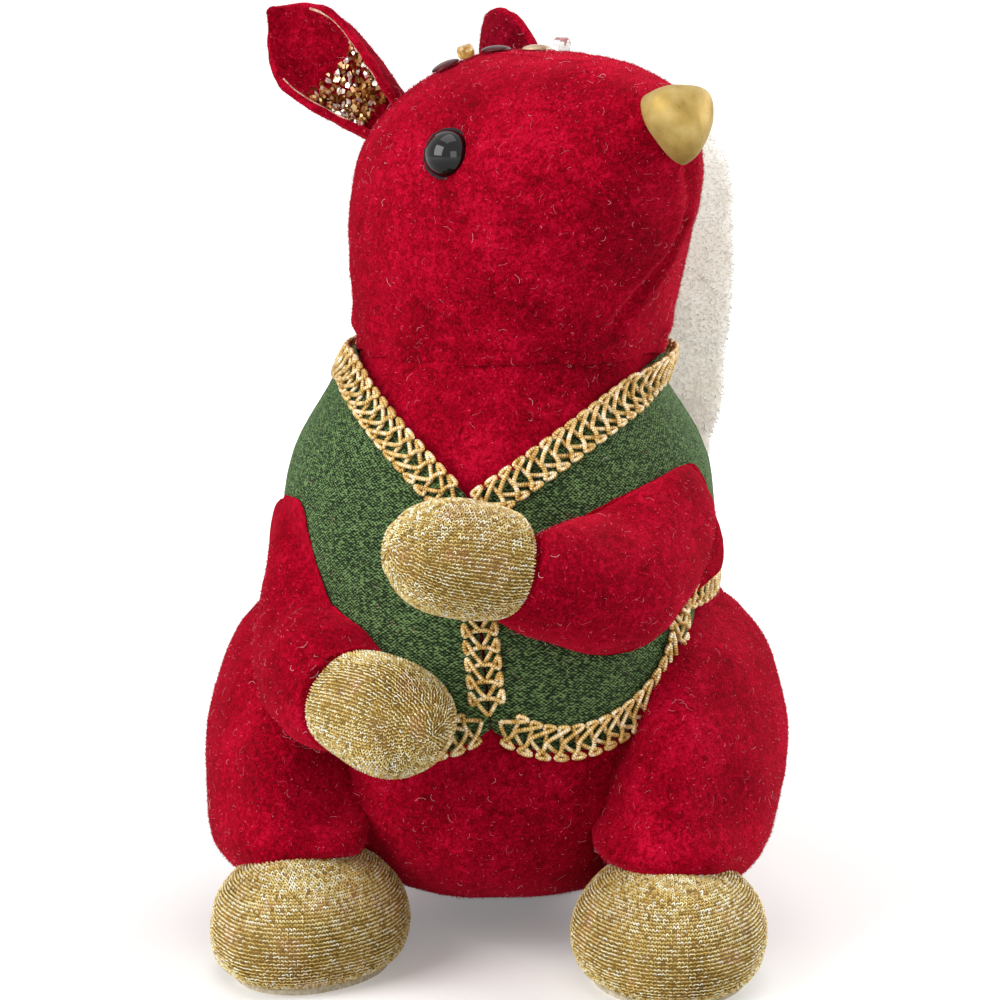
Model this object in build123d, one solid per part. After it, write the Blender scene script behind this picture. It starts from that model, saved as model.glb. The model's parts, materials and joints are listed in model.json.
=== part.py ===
from build123d import *
import math
import os

# A velvet squirrel figurine in a braid-trimmed vest, sitting up with its head turned.
# Millimetres, +Z up, the figure faces -Y. It is modelled round the neck axis and then moved, so that
# the origin is on the floor under the middle of the figure. Left and right are the figure's own.

# Driving sizes: fabric, clearances and pins
COVER = 1.0  # velvet or knit cover with its backing
CORE_GAP = 0.2  # between a cover and the filling inside it
CLEARANCE = 0.3  # between soft pieces that lie against each other
VEST_THICKNESS = 2.0
BRAID_WIDTH = 8.0
BRAID_THICKNESS = 1.8
BRAID_GAP = 0.1
PIN_GAP = 0.05  # radial, between a pin and its hole

# Driving sizes: body
SEAM_HEIGHT = 128.0  # floor to the seam that the head turns on
NECK_RADIUS = 32.5
BODY_HALF_WIDTH = 44.0
BELLY_REACH = 50.0  # neck axis to the front of the belly
RUMP_REACH = 57.0  # neck axis to the back of the rump
BODY_LEAN = -3.0  # the body stands this far to one side of the neck axis
FELT = 1.5  # thickness of the seat disc and the soles

# Driving sizes: head
HEAD_HEIGHT = 63.0  # seam to crown
HEAD_HALF_WIDTH = 35.6
HEAD_BACK = 35.6
MUZZLE_REACH = 58.0
HEAD_YAW = 40.0  # degrees that the head is turned to the figure's left
DOWEL_RADIUS = 4.0
DOWEL_IN_BODY = 26.0
DOWEL_IN_HEAD = 26.0
EYE_RADIUS = 5.0
EYE_DOME = 4.2
EYE_STEM_RADIUS = 1.3
EYE_STEM = 9.0
NOSE_WIDTH = 15.0
NOSE_RISE = 7.5  # from the middle of the nose to its broad top
NOSE_DROP = 9.5  # and to its lower point
NOSE_POINT_RADIUS = 2.8
NOSE_DEPTH = 8.0
NOSE_PITCH = 22.0  # degrees that the nose looks up
NOSE_PEG_RADIUS = 1.5
NOSE_PEG = 10.0
SOCKET = 0.8  # depth that the eyes and the nose are set into the velvet

# Driving sizes: ears and the beaded trim on the crown
EAR_LENGTH = 36.0
EAR_WIDTH = 20.0
EAR_CUP = 8.0
EAR_LAYER = 0.9
LAYER_GAP = 0.1
EAR_FLARE = {"right": 44.0, "left": 15.0}  # degrees from straight back
EAR_LIFT = {"right": 41.0, "left": 33.0}  # degrees above level
CHIP = (2.0, 1.6, 1.2)
CHIP_ROWS = 4
CHIPS_PER_ROW = 4
CHIP_START = 0.3  # first row and step to the next, as shares of the ear's length
CHIP_STEP = 0.1
CHIP_SPREAD = 0.14  # from chip to chip, as a share of the ear's width
CHIP_TURN = 37.0  # degrees from one chip to the next
SEQUIN_RADIUS = 3.2
SEQUIN_THICKNESS = 0.4
SEQUIN_STEPS = (-1.5, -0.5, 0.5)  # along the row of trim, in spacings
BEAD_STEPS = {"gold_bead": -1.0, "clear_bead": 1.0}
BEAD_RADIUS = 1.6
BEAD_LENGTH = 2.2
THREAD_HOLE = 0.5
TRIM_SPACING = 10.0  # from one sequin to the next, across the crown

# Driving sizes: limbs
THIGH_WIDTH = 43.0
THIGH_LENGTH = 84.0
THIGH_HEIGHT = 58.0
THIGH_SIDE = 41.5  # middle of a thigh from the middle of the body
THIGH_FORWARD = 7.0
THIGH_RISE = 43.0
THIGH_LEAN = 0.35  # the top of a thigh lies back
FOOT_LENGTH = 57.0
FOOT_WIDTH = 40.0
FOOT_HEIGHT = 25.0
FOOT_SIDE = 38.0
FOOT_FORWARD = 43.5
FOOT_SPLAY = 7.0  # degrees that the toes turn out
ARM_RADIUS = 14.0
HAND_LENGTH = 30.0
HAND_WIDTH = 27.0
HAND_HEIGHT = 26.0
SHOULDER_PIN_RADIUS = 1.25
SHOULDER_PIN_IN_BODY = 15.0  # from the outside of the vest
SHOULDER_PIN_IN_ARM = 5.0
SHOULDER_TURN = 35.0  # degrees that the pin points forward of straight sideways
SHOULDER_TILT = 30.0  # degrees that it slopes down to the outside
ARM_SWING = 12.0  # degrees of travel up and away from the belly

# Driving sizes: tail
TAIL_HEIGHT = 178.0
TAIL_HALF_WIDTH = 36.0
TAIL_HALF_DEPTH = 18.0
TAIL_LEAN = 9.0  # the top stands this far to the figure's left
TAIL_GAP = 0.8  # behind the rump
FUR = 4.0  # backing and pile of the tail's plush
TAIL_ROOT = 0.31  # height of the peg, as a share of the height of the body
TAIL_PEG_RADIUS = 2.0
TAIL_PEG_IN_BODY = 16.0
TAIL_PEG_IN_TAIL = 14.0

# Driving sizes: vest
NECKLINE_TOP = 126.5
NECKLINE_POINT = 101.0  # height where the two fronts meet
CLOSING_TOP_X = -4.0
CLOSING_HEM_X = 1.5
VEST_SEAM = 0.3  # gap where two pieces of the vest meet
HEM_NOTCH = 54.0  # hem height where the fronts meet
HEM_LOW = 48.0  # lowest point of a front
HEM_LOW_X = 20.0
HEM_END_X = 43.0  # where the rounded hem of a front runs into the level one
HEM_SIDE = 75.0  # hem height at the sides and round the back
SIDE_SEAM_Y = 3.0

FAR = 300.0  # larger than the figure, for cutting shapes
NECK_PLACE = (3.0, -5.35)  # the neck axis in the finished frame

# The soft forms, as shares of the sizes above.
# Body: height, half width, front, back.
BODY_SHAPE = (
    (0.058, 0.64, 0.14, 1.00),
    (0.10, 0.75, 0.64, 1.00),
    (0.17, 0.87, 0.86, 0.99),
    (0.31, 0.97, 0.98, 0.95),
    (0.47, 1.00, 1.00, 0.88),
    (0.63, 1.00, 0.94, 0.81),
    (0.76, 1.00, 0.87, 0.74),
    (0.86, 0.90, 0.78, 0.67),
    (0.94, 0.76, 0.69, 0.60),
)
SEAT_SHAPE = (0.45, -0.44, 0.95)  # half width, front, back where the rump rests
# Head: height, half width, back, front, radius of the front end over the half width.
HEAD_SHAPE = (
    (0.16, 0.97, 0.97, 0.65, 0.80),
    (0.32, 1.00, 1.00, 0.74, 0.70),
    (0.49, 0.98, 0.99, 0.87, 0.58),
    (0.65, 0.91, 0.92, 0.975, 0.48),
    (0.78, 0.78, 0.76, 1.00, 0.45),
    (0.875, 0.61, 0.57, 0.955, 0.47),
    (0.95, 0.40, 0.34, 0.81, 0.55),
    (1.00, 0.20, 0.10, 0.62, 0.64),
)
# Tail: height, half width, half depth, distance of its front from the neck axis, lean.
TAIL_SHAPE = (
    (0.02, 0.42, 0.60, 1.00, 0.0),
    (0.14, 0.60, 0.82, 1.01, 0.05),
    (0.31, 0.74, 0.94, 0.98, 0.2),
    (0.50, 0.90, 1.00, 0.87, 0.45),
    (0.68, 0.99, 0.97, 0.72, 0.7),
    (0.84, 0.97, 0.92, 0.72, 0.9),
    (0.94, 0.80, 0.75, 0.78, 1.0),
    (1.00, 0.40, 0.45, 0.86, 1.0),
)
# Pads: distance along the pad, size of the section there.
THIGH_SHAPE = ((0.0, 0.42), (0.07, 0.70), (0.2, 0.90), (0.5, 1.0), (0.78, 0.84), (0.93, 0.58), (1.0, 0.34))
FOOT_SHAPE = ((0.0, 0.80), (0.1, 0.94), (0.35, 1.0), (0.62, 0.93), (0.82, 0.74), (0.94, 0.50), (1.0, 0.32))
HAND_SHAPE = ((0.0, 0.84), (0.2, 0.95), (0.45, 1.0), (0.7, 0.91), (0.88, 0.68), (1.0, 0.36))
NOSE_SHAPE = ((0.0, 0.95), (0.35, 1.0), (0.65, 0.88), (0.86, 0.62), (1.0, 0.34))
# Ear: distance along the ear, width, cup.
EAR_SHAPE = ((0.0, 0.50, 0.80), (0.3, 0.86, 1.0), (0.6, 1.0, 0.9), (0.85, 0.66, 0.6), (1.0, 0.22, 0.3))
# Arms: sideways, forward and up as shares of the body, then the radius. The last row is the hand's tip.
ARM_PATH = {
    "right": (
        (0.70, 0.06, 0.805, 0.80),
        (0.795, 0.26, 0.656, 0.93),
        (0.795, 0.56, 0.516, 1.00),
        (0.69, 0.86, 0.477, 1.00),
        (0.57, 1.04, 0.465, 0.88),
        (0.12, 1.41, 0.443, 0.0),
    ),
    "left": (
        (0.73, 0.06, 0.828, 0.85),
        (0.78, 0.32, 0.742, 1.00),
        (0.68, 0.66, 0.645, 1.08),
        (0.50, 0.96, 0.660, 0.95),
        (0.216, 1.17, 0.703, 0.85),
        (-0.336, 1.464, 0.748, 0.0),
    ),
}
SHOULDER_PLACE = {"right": (0.44, 0.578), "left": (0.44, 0.672)}  # forward and up, on the vest
# Places on the head: forward, sideways and up as shares of the muzzle, half width and height.
EYE_PLACE = (0.31, 0.68)  # forward and up
NOSE_PLACE = 0.70  # height of a point behind the nose, one nose width inside the muzzle
EAR_PLACE = (-0.33, 0.53, 0.73)
TRIM_PLACE = (-0.12, 0.16)  # forward and left, middle of the trim
TRIM_TURN = 50.0  # degrees from straight ahead that the row of trim runs to the left

VEST_OUTSIDE = CLEARANCE + VEST_THICKNESS
BRAID_INSIDE = VEST_OUTSIDE + BRAID_GAP
BRAID_OUTSIDE = BRAID_INSIDE + BRAID_THICKNESS
CORE_INSIDE = COVER + CORE_GAP
SIDES = {"right": -1, "left": 1}
HALF_ROOT = math.sqrt(0.5)

parts = {}


def arc_wire(plane, points):
    """Closed wire of three-point arcs: end, middle, end, middle, ... in the plane's own x and y."""
    there = [plane.from_local_coords(Vector(x, y, 0)) for x, y in points]
    there.append(there[0])
    return Wire([ThreePointArc(*there[i : i + 3]) for i in range(0, len(points), 2)])


def oval(plane, half_x, half_y):
    """Four tangent arcs that meet at 45 degrees."""
    shift = (half_x - half_y) / (2 - 1 / HALF_ROOT)
    corner_x = shift + (half_x - shift) * HALF_ROOT
    corner_y = (half_y + shift) * HALF_ROOT - shift
    quarter = [(corner_x, -corner_y), (half_x, 0), (corner_x, corner_y), (0, half_y)]
    return arc_wire(plane, quarter + [(-x, -y) for x, y in quarter])


def egg(plane, half_width, back, front, end_radius):
    """A round back, two flanks tangent to it and a smaller round front, pointing along the plane's x."""
    back_x, front_x = half_width - back, front - end_radius
    reach = front_x - back_x
    flank = (reach**2 + half_width**2 - end_radius**2) / (2 * (half_width - end_radius))
    slope = math.atan2(flank - half_width, reach)
    middle = (slope + math.pi / 2) / 2
    upper = [
        (back_x - half_width * HALF_ROOT, half_width * HALF_ROOT),
        (back_x, half_width),
        (back_x + flank * math.cos(middle), flank * math.sin(middle) - flank + half_width),
        (front_x + end_radius * math.cos(slope), end_radius * math.sin(slope)),
    ]
    lower = [(x, -y) for x, y in reversed(upper)]
    return arc_wire(plane, [(-back, 0)] + upper + [(front, 0)] + lower)


def ring(plane, radius):
    """A circle in as many arcs as an egg."""
    turns = [math.radians(a) for a in (180, 135, 90, 58, 26, 0, -26, -58, -90, -135)]
    return arc_wire(plane, [(radius * math.cos(a), radius * math.sin(a)) for a in turns])


def level(x, y, z):
    return Plane(origin=(x, y, z), x_dir=(1, 0, 0), z_dir=(0, 0, 1))


def aimed(origin, way):
    """A plane across the direction way, with its x level."""
    sideways = Vector(0, 0, 1).cross(way)
    return Plane(origin=origin, x_dir=sideways if sideways.length > 0.001 else (1, 0, 0), z_dir=way)


def block(low, high):
    size = [b - a for a, b in zip(low, high)]
    return Pos(*[(a + b) / 2 for a, b in zip(low, high)]) * Box(*size)


def rod(plane, below, above, radius):
    return Solid.make_cylinder(radius, below + above, plane.offset(-below))


def upright(points):
    """A prism through the whole depth of the figure, from points in its front view. A row is a line's end,
    or the middle and the end of an arc."""
    place = Plane.XZ.offset(-FAR)
    there = [[place.from_local_coords(Vector(*p)) for p in row] for row in points]
    edges = []
    for before, row in zip(there[-1:] + there[:-1], there):
        edges.append(ThreePointArc(before[-1], *row) if len(row) == 2 else Line(before[-1], row[0]))
    return Solid.extrude(Face(Wire(edges)), Vector(0, -2 * FAR, 0))


def hit(shape, start, way, turn=-1):
    """Where a ray last meets the shape, or first with a turn of 0, as a plane that faces out of it."""
    start, way = Vector(*start), Vector(*way)
    ahead = [h for h in shape.find_intersection_points(Axis(start, way)) if (h[0] - start).dot(way) > 0]
    point, outward = ahead[turn]
    return aimed(point, outward)


def body_middle(z):
    """The neck is on its own axis, and from the shoulders down the body stands to one side of it."""
    shoulders = BODY_SHAPE[-1][0]
    return BODY_LEAN * min(1, (1 - z / SEAM_HEIGHT) / (1 - shoulders))


def body(grow=0.0):
    """The pear-shaped body, larger all round by grow, with a flat seat and a flat neck."""
    rows = [(FELT - min(grow, 0), *SEAT_SHAPE)]
    rows += [(SEAM_HEIGHT * up, *row) for up, *row in BODY_SHAPE]
    wires = []
    for z, wide, front, back in rows:
        front_y = -BELLY_REACH * front - grow
        back_y = RUMP_REACH * back + grow
        place = level(body_middle(z), (front_y + back_y) / 2, z)
        wires.append(oval(place, BODY_HALF_WIDTH * wide + grow, (back_y - front_y) / 2))
    wires.append(oval(level(0, 0, SEAM_HEIGHT), NECK_RADIUS + grow, NECK_RADIUS + grow))
    return Solid.make_loft(wires)


# The head's own frame: +X forward, +Y to the figure's left
head_place = Pos(0, 0, SEAM_HEIGHT + CLEARANCE) * Rot(0, 0, HEAD_YAW - 90)


def head_point(forward, left, up):
    return (head_place * Pos(forward, left, up)).position


def head_way(forward, left, up):
    return head_point(forward, left, up) - head_point(0, 0, 0)


def head(grow=0.0):
    """The head with its broad neck and its snout."""
    wires = [ring(level(0, 0, 0), NECK_RADIUS + grow)]
    for up, wide, back, front, end in HEAD_SHAPE:
        half_width = HEAD_HALF_WIDTH * wide
        z = HEAD_HEIGHT * up + (grow if up == 1 else 0)
        place = level(0, 0, z)
        reach = MUZZLE_REACH * front + grow
        wires.append(egg(place, half_width + grow, HEAD_BACK * back + grow, reach, half_width * end + grow))
    return head_place * Solid.make_loft(wires)


def pad(plane, half_x, half_y, low, high, shape, lean=0.0):
    """A stuffed pad along the plane's z, from low to high, that leans along the plane's y."""
    wires = []
    for along, share in shape:
        place = plane.offset(low + (high - low) * along)
        place.origin += plane.y_dir * (lean * (high - low) * (along - 0.5))
        wires.append(oval(place, half_x * share, half_y * share))
    return Solid.make_loft(wires)


def thigh(side, grow=0.0):
    middle = level(BODY_LEAN + SIDES[side] * THIGH_SIDE, -THIGH_FORWARD, THIGH_RISE)
    rise = THIGH_HEIGHT / 2 + grow
    return pad(middle, THIGH_WIDTH / 2 + grow, THIGH_LENGTH / 2 + grow, -rise, rise, THIGH_SHAPE, THIGH_LEAN)


def foot_place(side):
    return level(SIDES[side] * FOOT_SIDE, -FOOT_FORWARD, 0).rotated((0, 0, SIDES[side] * FOOT_SPLAY))


def foot(side, grow=0.0):
    low, high = FELT - min(grow, 0), FOOT_HEIGHT + grow
    return pad(foot_place(side), FOOT_WIDTH / 2 + grow, FOOT_LENGTH / 2 + grow, low, high, FOOT_SHAPE)


def on_body(side, sideways, forward, up):
    x = BODY_LEAN + SIDES[side] * BODY_HALF_WIDTH * sideways
    return Vector(x, -BELLY_REACH * forward, SEAM_HEIGHT * up)


def arm_points(side):
    return [on_body(side, *row[:3]) for row in ARM_PATH[side]]


def arm(side, grow=0.0):
    """The sleeve, from inside the body to a flat wrist."""
    points = arm_points(side)
    wires = []
    for i, row in enumerate(ARM_PATH[side][:-1]):
        last = i == len(points) - 2
        way = points[i + 1] - points[i if last else max(i - 1, 0)]
        radius = ARM_RADIUS * row[3] + grow
        wires.append(oval(aimed(points[i], way), radius, radius))
    return Solid.make_loft(wires)


def hand(side, grow=0.0):
    *_, wrist, tip = arm_points(side)
    place = aimed(wrist, tip - wrist)
    return pad(place, HAND_WIDTH / 2 + grow, HAND_HEIGHT / 2 + grow, CLEARANCE, HAND_LENGTH + grow, HAND_SHAPE)


def tail(grow=0.0):
    wires = []
    stretch = 1 + 2 * grow / TAIL_HEIGHT
    for up, wide, deep, front, lean in TAIL_SHAPE:
        z = TAIL_HEIGHT * (0.5 + (up - 0.5) * stretch)
        half_depth = TAIL_HALF_DEPTH * deep
        place = level(TAIL_LEAN * lean, RUMP_REACH * front + TAIL_GAP + half_depth, z)
        share = 1 + grow / half_depth
        wires.append(oval(place, TAIL_HALF_WIDTH * wide * share, half_depth * share))
    return Solid.make_loft(wires)


def ear_place(side):
    """Along the ear, with the plane's y towards its back."""
    lift, flare = math.radians(EAR_LIFT[side]), math.radians(EAR_FLARE[side])
    flat = math.cos(lift)
    way = head_way(-flat * math.cos(flare), SIDES[side] * flat * math.sin(flare), math.sin(lift))
    opening = head_way(HALF_ROOT, SIDES[side] * HALF_ROOT, 0)
    forward, sideways, up = EAR_PLACE
    base = head_point(MUZZLE_REACH * forward, SIDES[side] * HEAD_HALF_WIDTH * sideways, HEAD_HEIGHT * up)
    return Plane(origin=base, x_dir=way.cross(opening), z_dir=way)


def ear_layer(side, outside, inside):
    """One cupped layer of an ear, from outside to inside the ear's own surface."""
    wires = []
    for along, wide, cup in EAR_SHAPE:
        place = ear_place(side).offset(EAR_LENGTH * along)
        half, depth = EAR_WIDTH * wide / 2, EAR_CUP * cup
        ends = [place.from_local_coords(Vector(x, 0, 0)) for x in (half - outside, half - inside)]
        others = [place.from_local_coords(Vector(-x, 0, 0)) for x in (half - outside, half - inside)]
        crowns = [place.from_local_coords(Vector(0, depth - d, 0)) for d in (outside, inside)]
        outer = ThreePointArc(ends[0], crowns[0], others[0])
        inner = ThreePointArc(others[1], crowns[1], ends[1])
        wires.append(Wire([outer, Line(others[0], others[1]), inner, Line(ends[1], ends[0])]))
    return Solid.make_loft(wires)


# The body with its felt seat, and the pins that carry the head, the arms and the tail
body_form = body()
vest_form = body(VEST_OUTSIDE)
tail_root = hit(body_form, (0, 0, SEAM_HEIGHT * TAIL_ROOT), (0, 1, 0))
tail_peg_place = aimed(tail_root.origin, Vector(0, 1, 0))
shoulder_places = {}
for side, sign in SIDES.items():
    tilt, turn = math.radians(SHOULDER_TILT), math.radians(SHOULDER_TURN)
    flat = math.cos(tilt)
    outward = Vector(sign * flat * math.cos(turn), -flat * math.sin(turn), -math.sin(tilt))
    on_vest = hit(vest_form, on_body(side, 0, *SHOULDER_PLACE[side]), (sign, 0, 0))
    shoulder_places[side] = aimed(on_vest.origin, outward)


def dowel(gap=0.0):
    return rod(level(0, 0, SEAM_HEIGHT), DOWEL_IN_BODY + gap, DOWEL_IN_HEAD + gap, DOWEL_RADIUS + gap)


def shoulder_pin(side, gap=0.0):
    place = shoulder_places[side]
    return rod(place, SHOULDER_PIN_IN_BODY + gap, SHOULDER_PIN_IN_ARM + gap, SHOULDER_PIN_RADIUS + gap)


def tail_peg(gap=0.0):
    return rod(tail_peg_place, TAIL_PEG_IN_BODY + gap, TAIL_PEG_IN_TAIL + gap, TAIL_PEG_RADIUS + gap)


pin_holes = [dowel(PIN_GAP), tail_peg(PIN_GAP)] + [shoulder_pin(side, PIN_GAP) for side in SIDES]
parts["neck_dowel"] = dowel()
parts["tail_peg"] = tail_peg()
for side in SIDES:
    parts[f"{side}_shoulder_pin"] = shoulder_pin(side)
parts["body_cover"] = body_form - body(-COVER) - pin_holes
parts["body_core"] = body(-CORE_INSIDE) - pin_holes
seat_width, seat_front, seat_back = SEAT_SHAPE
seat_front_y, seat_back_y = -BELLY_REACH * seat_front, RUMP_REACH * seat_back
seat_middle = level(BODY_LEAN, (seat_front_y + seat_back_y) / 2, 0)
seat_outline = oval(seat_middle, BODY_HALF_WIDTH * seat_width, (seat_back_y - seat_front_y) / 2)
parts["seat_disc"] = Solid.extrude(Face(seat_outline), Vector(0, 0, FELT))

# The vest: two fronts and a back, with braid along its edges
vest_shell = vest_form - body(CLEARANCE) - pin_holes
braid_shell = body(BRAID_OUTSIDE) - body(BRAID_INSIDE) - pin_holes
front_half = block((-FAR, -FAR, 0), (FAR, SIDE_SEAM_Y, FAR))
back_half = block((-FAR, SIDE_SEAM_Y + VEST_SEAM, 0), (FAR, FAR, FAR))


def hem_arc(side, inset=0.0):
    """Side end, lowest point and closing end of a front's hem, inset from its edge."""
    sign = SIDES[side]
    ax, az = sign * HEM_END_X + BODY_LEAN, HEM_SIDE
    bx, bz = sign * HEM_LOW_X + BODY_LEAN, HEM_LOW
    cx, cz = CLOSING_HEM_X, HEM_NOTCH
    edge = (ax, az), (bx, bz), (cx, cz)
    twist = 2 * (ax * (bz - cz) + bx * (cz - az) + cx * (az - bz))
    squares = [x * x + z * z for x, z in edge]
    middle_x = (squares[0] * (bz - cz) + squares[1] * (cz - az) + squares[2] * (az - bz)) / twist
    middle_z = (squares[0] * (cx - bx) + squares[1] * (ax - cx) + squares[2] * (bx - ax)) / twist
    share = 1 - inset / math.hypot(ax - middle_x, az - middle_z)
    return [(middle_x + (x - middle_x) * share, middle_z + (z - middle_z) * share) for x, z in edge]


def closing_line(shift=0.0):
    """Upper and lower end of the line where the fronts meet, moved sideways."""
    return (CLOSING_TOP_X + shift, NECKLINE_POINT), (CLOSING_HEM_X + shift, HEM_NOTCH)


def front_outline(side):
    """A front of the vest, seen from the front."""
    sign = SIDES[side]
    top, notch = closing_line(sign * VEST_SEAM / 2)
    side_end, low_point, _ = hem_arc(side)
    neck_end, far_top = (sign * NECK_RADIUS, NECKLINE_TOP), (sign * FAR, NECKLINE_TOP)
    return upright([[top], [neck_end], [far_top], [(sign * FAR, HEM_SIDE)], [side_end], [low_point, notch]])


def neckline_band(side):
    """A strip along the slanting edge of a front, seen from the front."""
    sign = SIDES[side]
    low, high = Vector(CLOSING_TOP_X, NECKLINE_POINT), Vector(sign * NECK_RADIUS, NECKLINE_TOP)
    along = (high - low).normalized()
    across = Vector(sign * along.Y, -sign * along.X) * BRAID_WIDTH
    low, high = low - along * BRAID_WIDTH, high + along * BRAID_WIDTH
    return upright([[(p.X, p.Y)] for p in (low, high, high + across, low + across)])


def hem_band(side):
    side_end, low_point, notch = hem_arc(side)
    inner_end, inner_low, inner_notch = hem_arc(side, BRAID_WIDTH)
    return upright([[side_end], [low_point, notch], [inner_notch], [inner_low, inner_end]])


def closing_side(side, shift=0.0):
    """All that lies on one side of the line where the fronts meet, seen from the front."""
    sign = SIDES[side]
    (top_x, top_z), (low_x, low_z) = closing_line(sign * shift)
    slope = (top_x - low_x) / (top_z - low_z)
    floor, roof = (top_x - slope * top_z, 0), (top_x + slope * (FAR - top_z), FAR)
    return upright([[floor], [roof], [(sign * FAR, FAR)], [(sign * FAR, 0)]])


def largest(shape):
    return shape.solids().sort_by(SortBy.VOLUME)[-1]


under_neckline = block((-FAR, -FAR, 0), (FAR, FAR, NECKLINE_TOP))
braid_bands = {}
for side in SIDES:
    fronts_part = closing_side(side, BRAID_GAP / 2) & front_half & under_neckline
    braid_bands[f"neckline_braid_{side}"] = neckline_band(side) & fronts_part
    braid_bands[f"hem_braid_{side}"] = hem_band(side) & fronts_part
    parts[f"vest_{side}_front"] = largest(vest_shell & front_outline(side) & front_half)
front_strip = closing_side("left", -BRAID_WIDTH / 2) & closing_side("right", -BRAID_WIDTH / 2) & front_half
front_strip &= block((-FAR, -FAR, HEM_NOTCH), (FAR, 0, NECKLINE_POINT))
crossing = [band(side) for band in (neckline_band, hem_band) for side in SIDES]
braid_bands["front_braid"] = front_strip - crossing
top_strip = block((-FAR, 0, NECKLINE_TOP - BRAID_WIDTH), (FAR, FAR, NECKLINE_TOP))
braid_bands["neckline_braid_back"] = back_half & top_strip
braid_bands["hem_braid_back"] = back_half & block((-FAR, 0, HEM_SIDE), (FAR, FAR, HEM_SIDE + BRAID_WIDTH))
for name, band in braid_bands.items():
    parts[name] = largest(braid_shell & band)
parts["vest_back"] = largest(vest_shell & back_half & block((-FAR, 0, HEM_SIDE), (FAR, FAR, NECKLINE_TOP)))

# Limbs and tail: each is a cover over a filling, and a limb is shaped by what it lies against
body_room = body(CLEARANCE)
braid_room = body(BRAID_OUTSIDE + CLEARANCE)


def add_stuffed(name, make, rooms):
    form = largest(make(0) - rooms)
    parts[f"{name}_cover"] = largest(form - make(-COVER))
    parts[f"{name}_core"] = largest(make(-CORE_INSIDE) & form)


def raised(side, shape, angle):
    """A shape turned about a shoulder pin, as far as angle lifts that arm."""
    place = shoulder_places[side]
    return shape.rotate(Axis(place.origin, place.z_dir), -SIDES[side] * angle)


for side in SIDES:
    vest_front_room = braid_room & front_outline(side) & front_half
    add_stuffed(f"{side}_thigh", lambda grow: thigh(side, grow), [body_room, vest_front_room])
    add_stuffed(f"{side}_foot", lambda grow: foot(side, grow), [body_room, thigh(side, CLEARANCE)])
    sole_share = FOOT_SHAPE[0][1]
    sole = Face(oval(foot_place(side), FOOT_WIDTH / 2 * sole_share, FOOT_LENGTH / 2 * sole_share))
    parts[f"{side}_sole"] = Solid.extrude(sole, Vector(0, 0, FELT))
    arm_rooms = [shoulder_pin(side, PIN_GAP)]
    for angle in (0, ARM_SWING / 3, 2 * ARM_SWING / 3, ARM_SWING):
        arm_rooms += [raised(side, room, -angle) for room in (braid_room, thigh(side, CLEARANCE))]
    add_stuffed(f"{side}_arm", lambda grow: arm(side, grow), arm_rooms)
    add_stuffed(f"{side}_hand", lambda grow: hand(side, grow), [braid_room, thigh(side, CLEARANCE)])
parts["tail_cover"] = tail() - tail_peg(PIN_GAP) - tail(-FUR)
parts["tail_core"] = tail(-FUR - CORE_GAP) - tail_peg(PIN_GAP)

# Head with its eyes, nose, ears and trim
head_form = head()
head_holes = [dowel(PIN_GAP)]


def eye(place, gap=0.0):
    ball = (EYE_RADIUS**2 + EYE_DOME**2) / (2 * EYE_DOME) + gap
    dome = Solid.make_sphere(ball, place.offset(EYE_DOME - ball + gap)) & rod(place, 0, EYE_DOME + gap, ball)
    rim = rod(place, SOCKET + gap, 0, EYE_RADIUS + gap)
    return dome + rim + rod(place, EYE_STEM + gap, 0, EYE_STEM_RADIUS + gap)


def nose(gap=0.0):
    pitch = math.radians(NOSE_PITCH)
    start = head_point(MUZZLE_REACH - NOSE_WIDTH, 0, HEAD_HEIGHT * NOSE_PLACE)
    way = head_way(math.cos(pitch), 0, math.sin(pitch))
    seat = hit(head_form, start, way).origin
    place = Plane(origin=seat, x_dir=head_way(math.sin(pitch), 0, -math.cos(pitch)), z_dir=way)
    wires = []
    for along, share in NOSE_SHAPE:
        section = place.offset((NOSE_DEPTH + SOCKET + 2 * gap) * along - SOCKET - gap)
        sizes = [size * share + gap for size in (NOSE_WIDTH / 2, NOSE_RISE, NOSE_DROP, NOSE_POINT_RADIUS)]
        wires.append(egg(section, *sizes))
    return Solid.make_loft(wires) + rod(place, NOSE_PEG + gap, 0, NOSE_PEG_RADIUS + gap)


parts["nose"] = nose()
head_holes.append(nose(PIN_GAP))
for side, sign in SIDES.items():
    forward, up = EYE_PLACE
    middle = head_point(MUZZLE_REACH * forward, 0, HEAD_HEIGHT * up)
    eye_place = hit(head_form, middle, head_way(0, sign, 0))
    parts[f"{side}_eye"] = eye(eye_place)
    head_holes.append(eye(eye_place, PIN_GAP))
parts["head_cover"] = largest(head_form - head(-COVER) - head_holes)
parts["head_core"] = largest(head(-CORE_INSIDE) - head_holes)

head_room = head(CLEARANCE)
for side in SIDES:
    lining_outside = EAR_LAYER + LAYER_GAP
    parts[f"{side}_ear"] = largest(ear_layer(side, 0, EAR_LAYER) - head_room)
    lining = largest(ear_layer(side, lining_outside, lining_outside + EAR_LAYER) - head_room)
    parts[f"{side}_ear_lining"] = lining
    chips = []
    for row in range(CHIP_ROWS):
        for column in range(CHIPS_PER_ROW):
            along = EAR_LENGTH * (CHIP_START + CHIP_STEP * row)
            across = EAR_WIDTH * CHIP_SPREAD * (column - (CHIPS_PER_ROW - 1) / 2)
            start = ear_place(side).from_local_coords(Vector(across, -EAR_CUP, along))
            seat = hit(lining, start, ear_place(side).y_dir, 0).offset(LAYER_GAP + CHIP[2] / 2)
            chips.append(seat.location * Rot(0, 0, CHIP_TURN * (row + 2 * column)) * Box(*CHIP))
    parts[f"{side}_ear_chips"] = Compound(chips)


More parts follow.
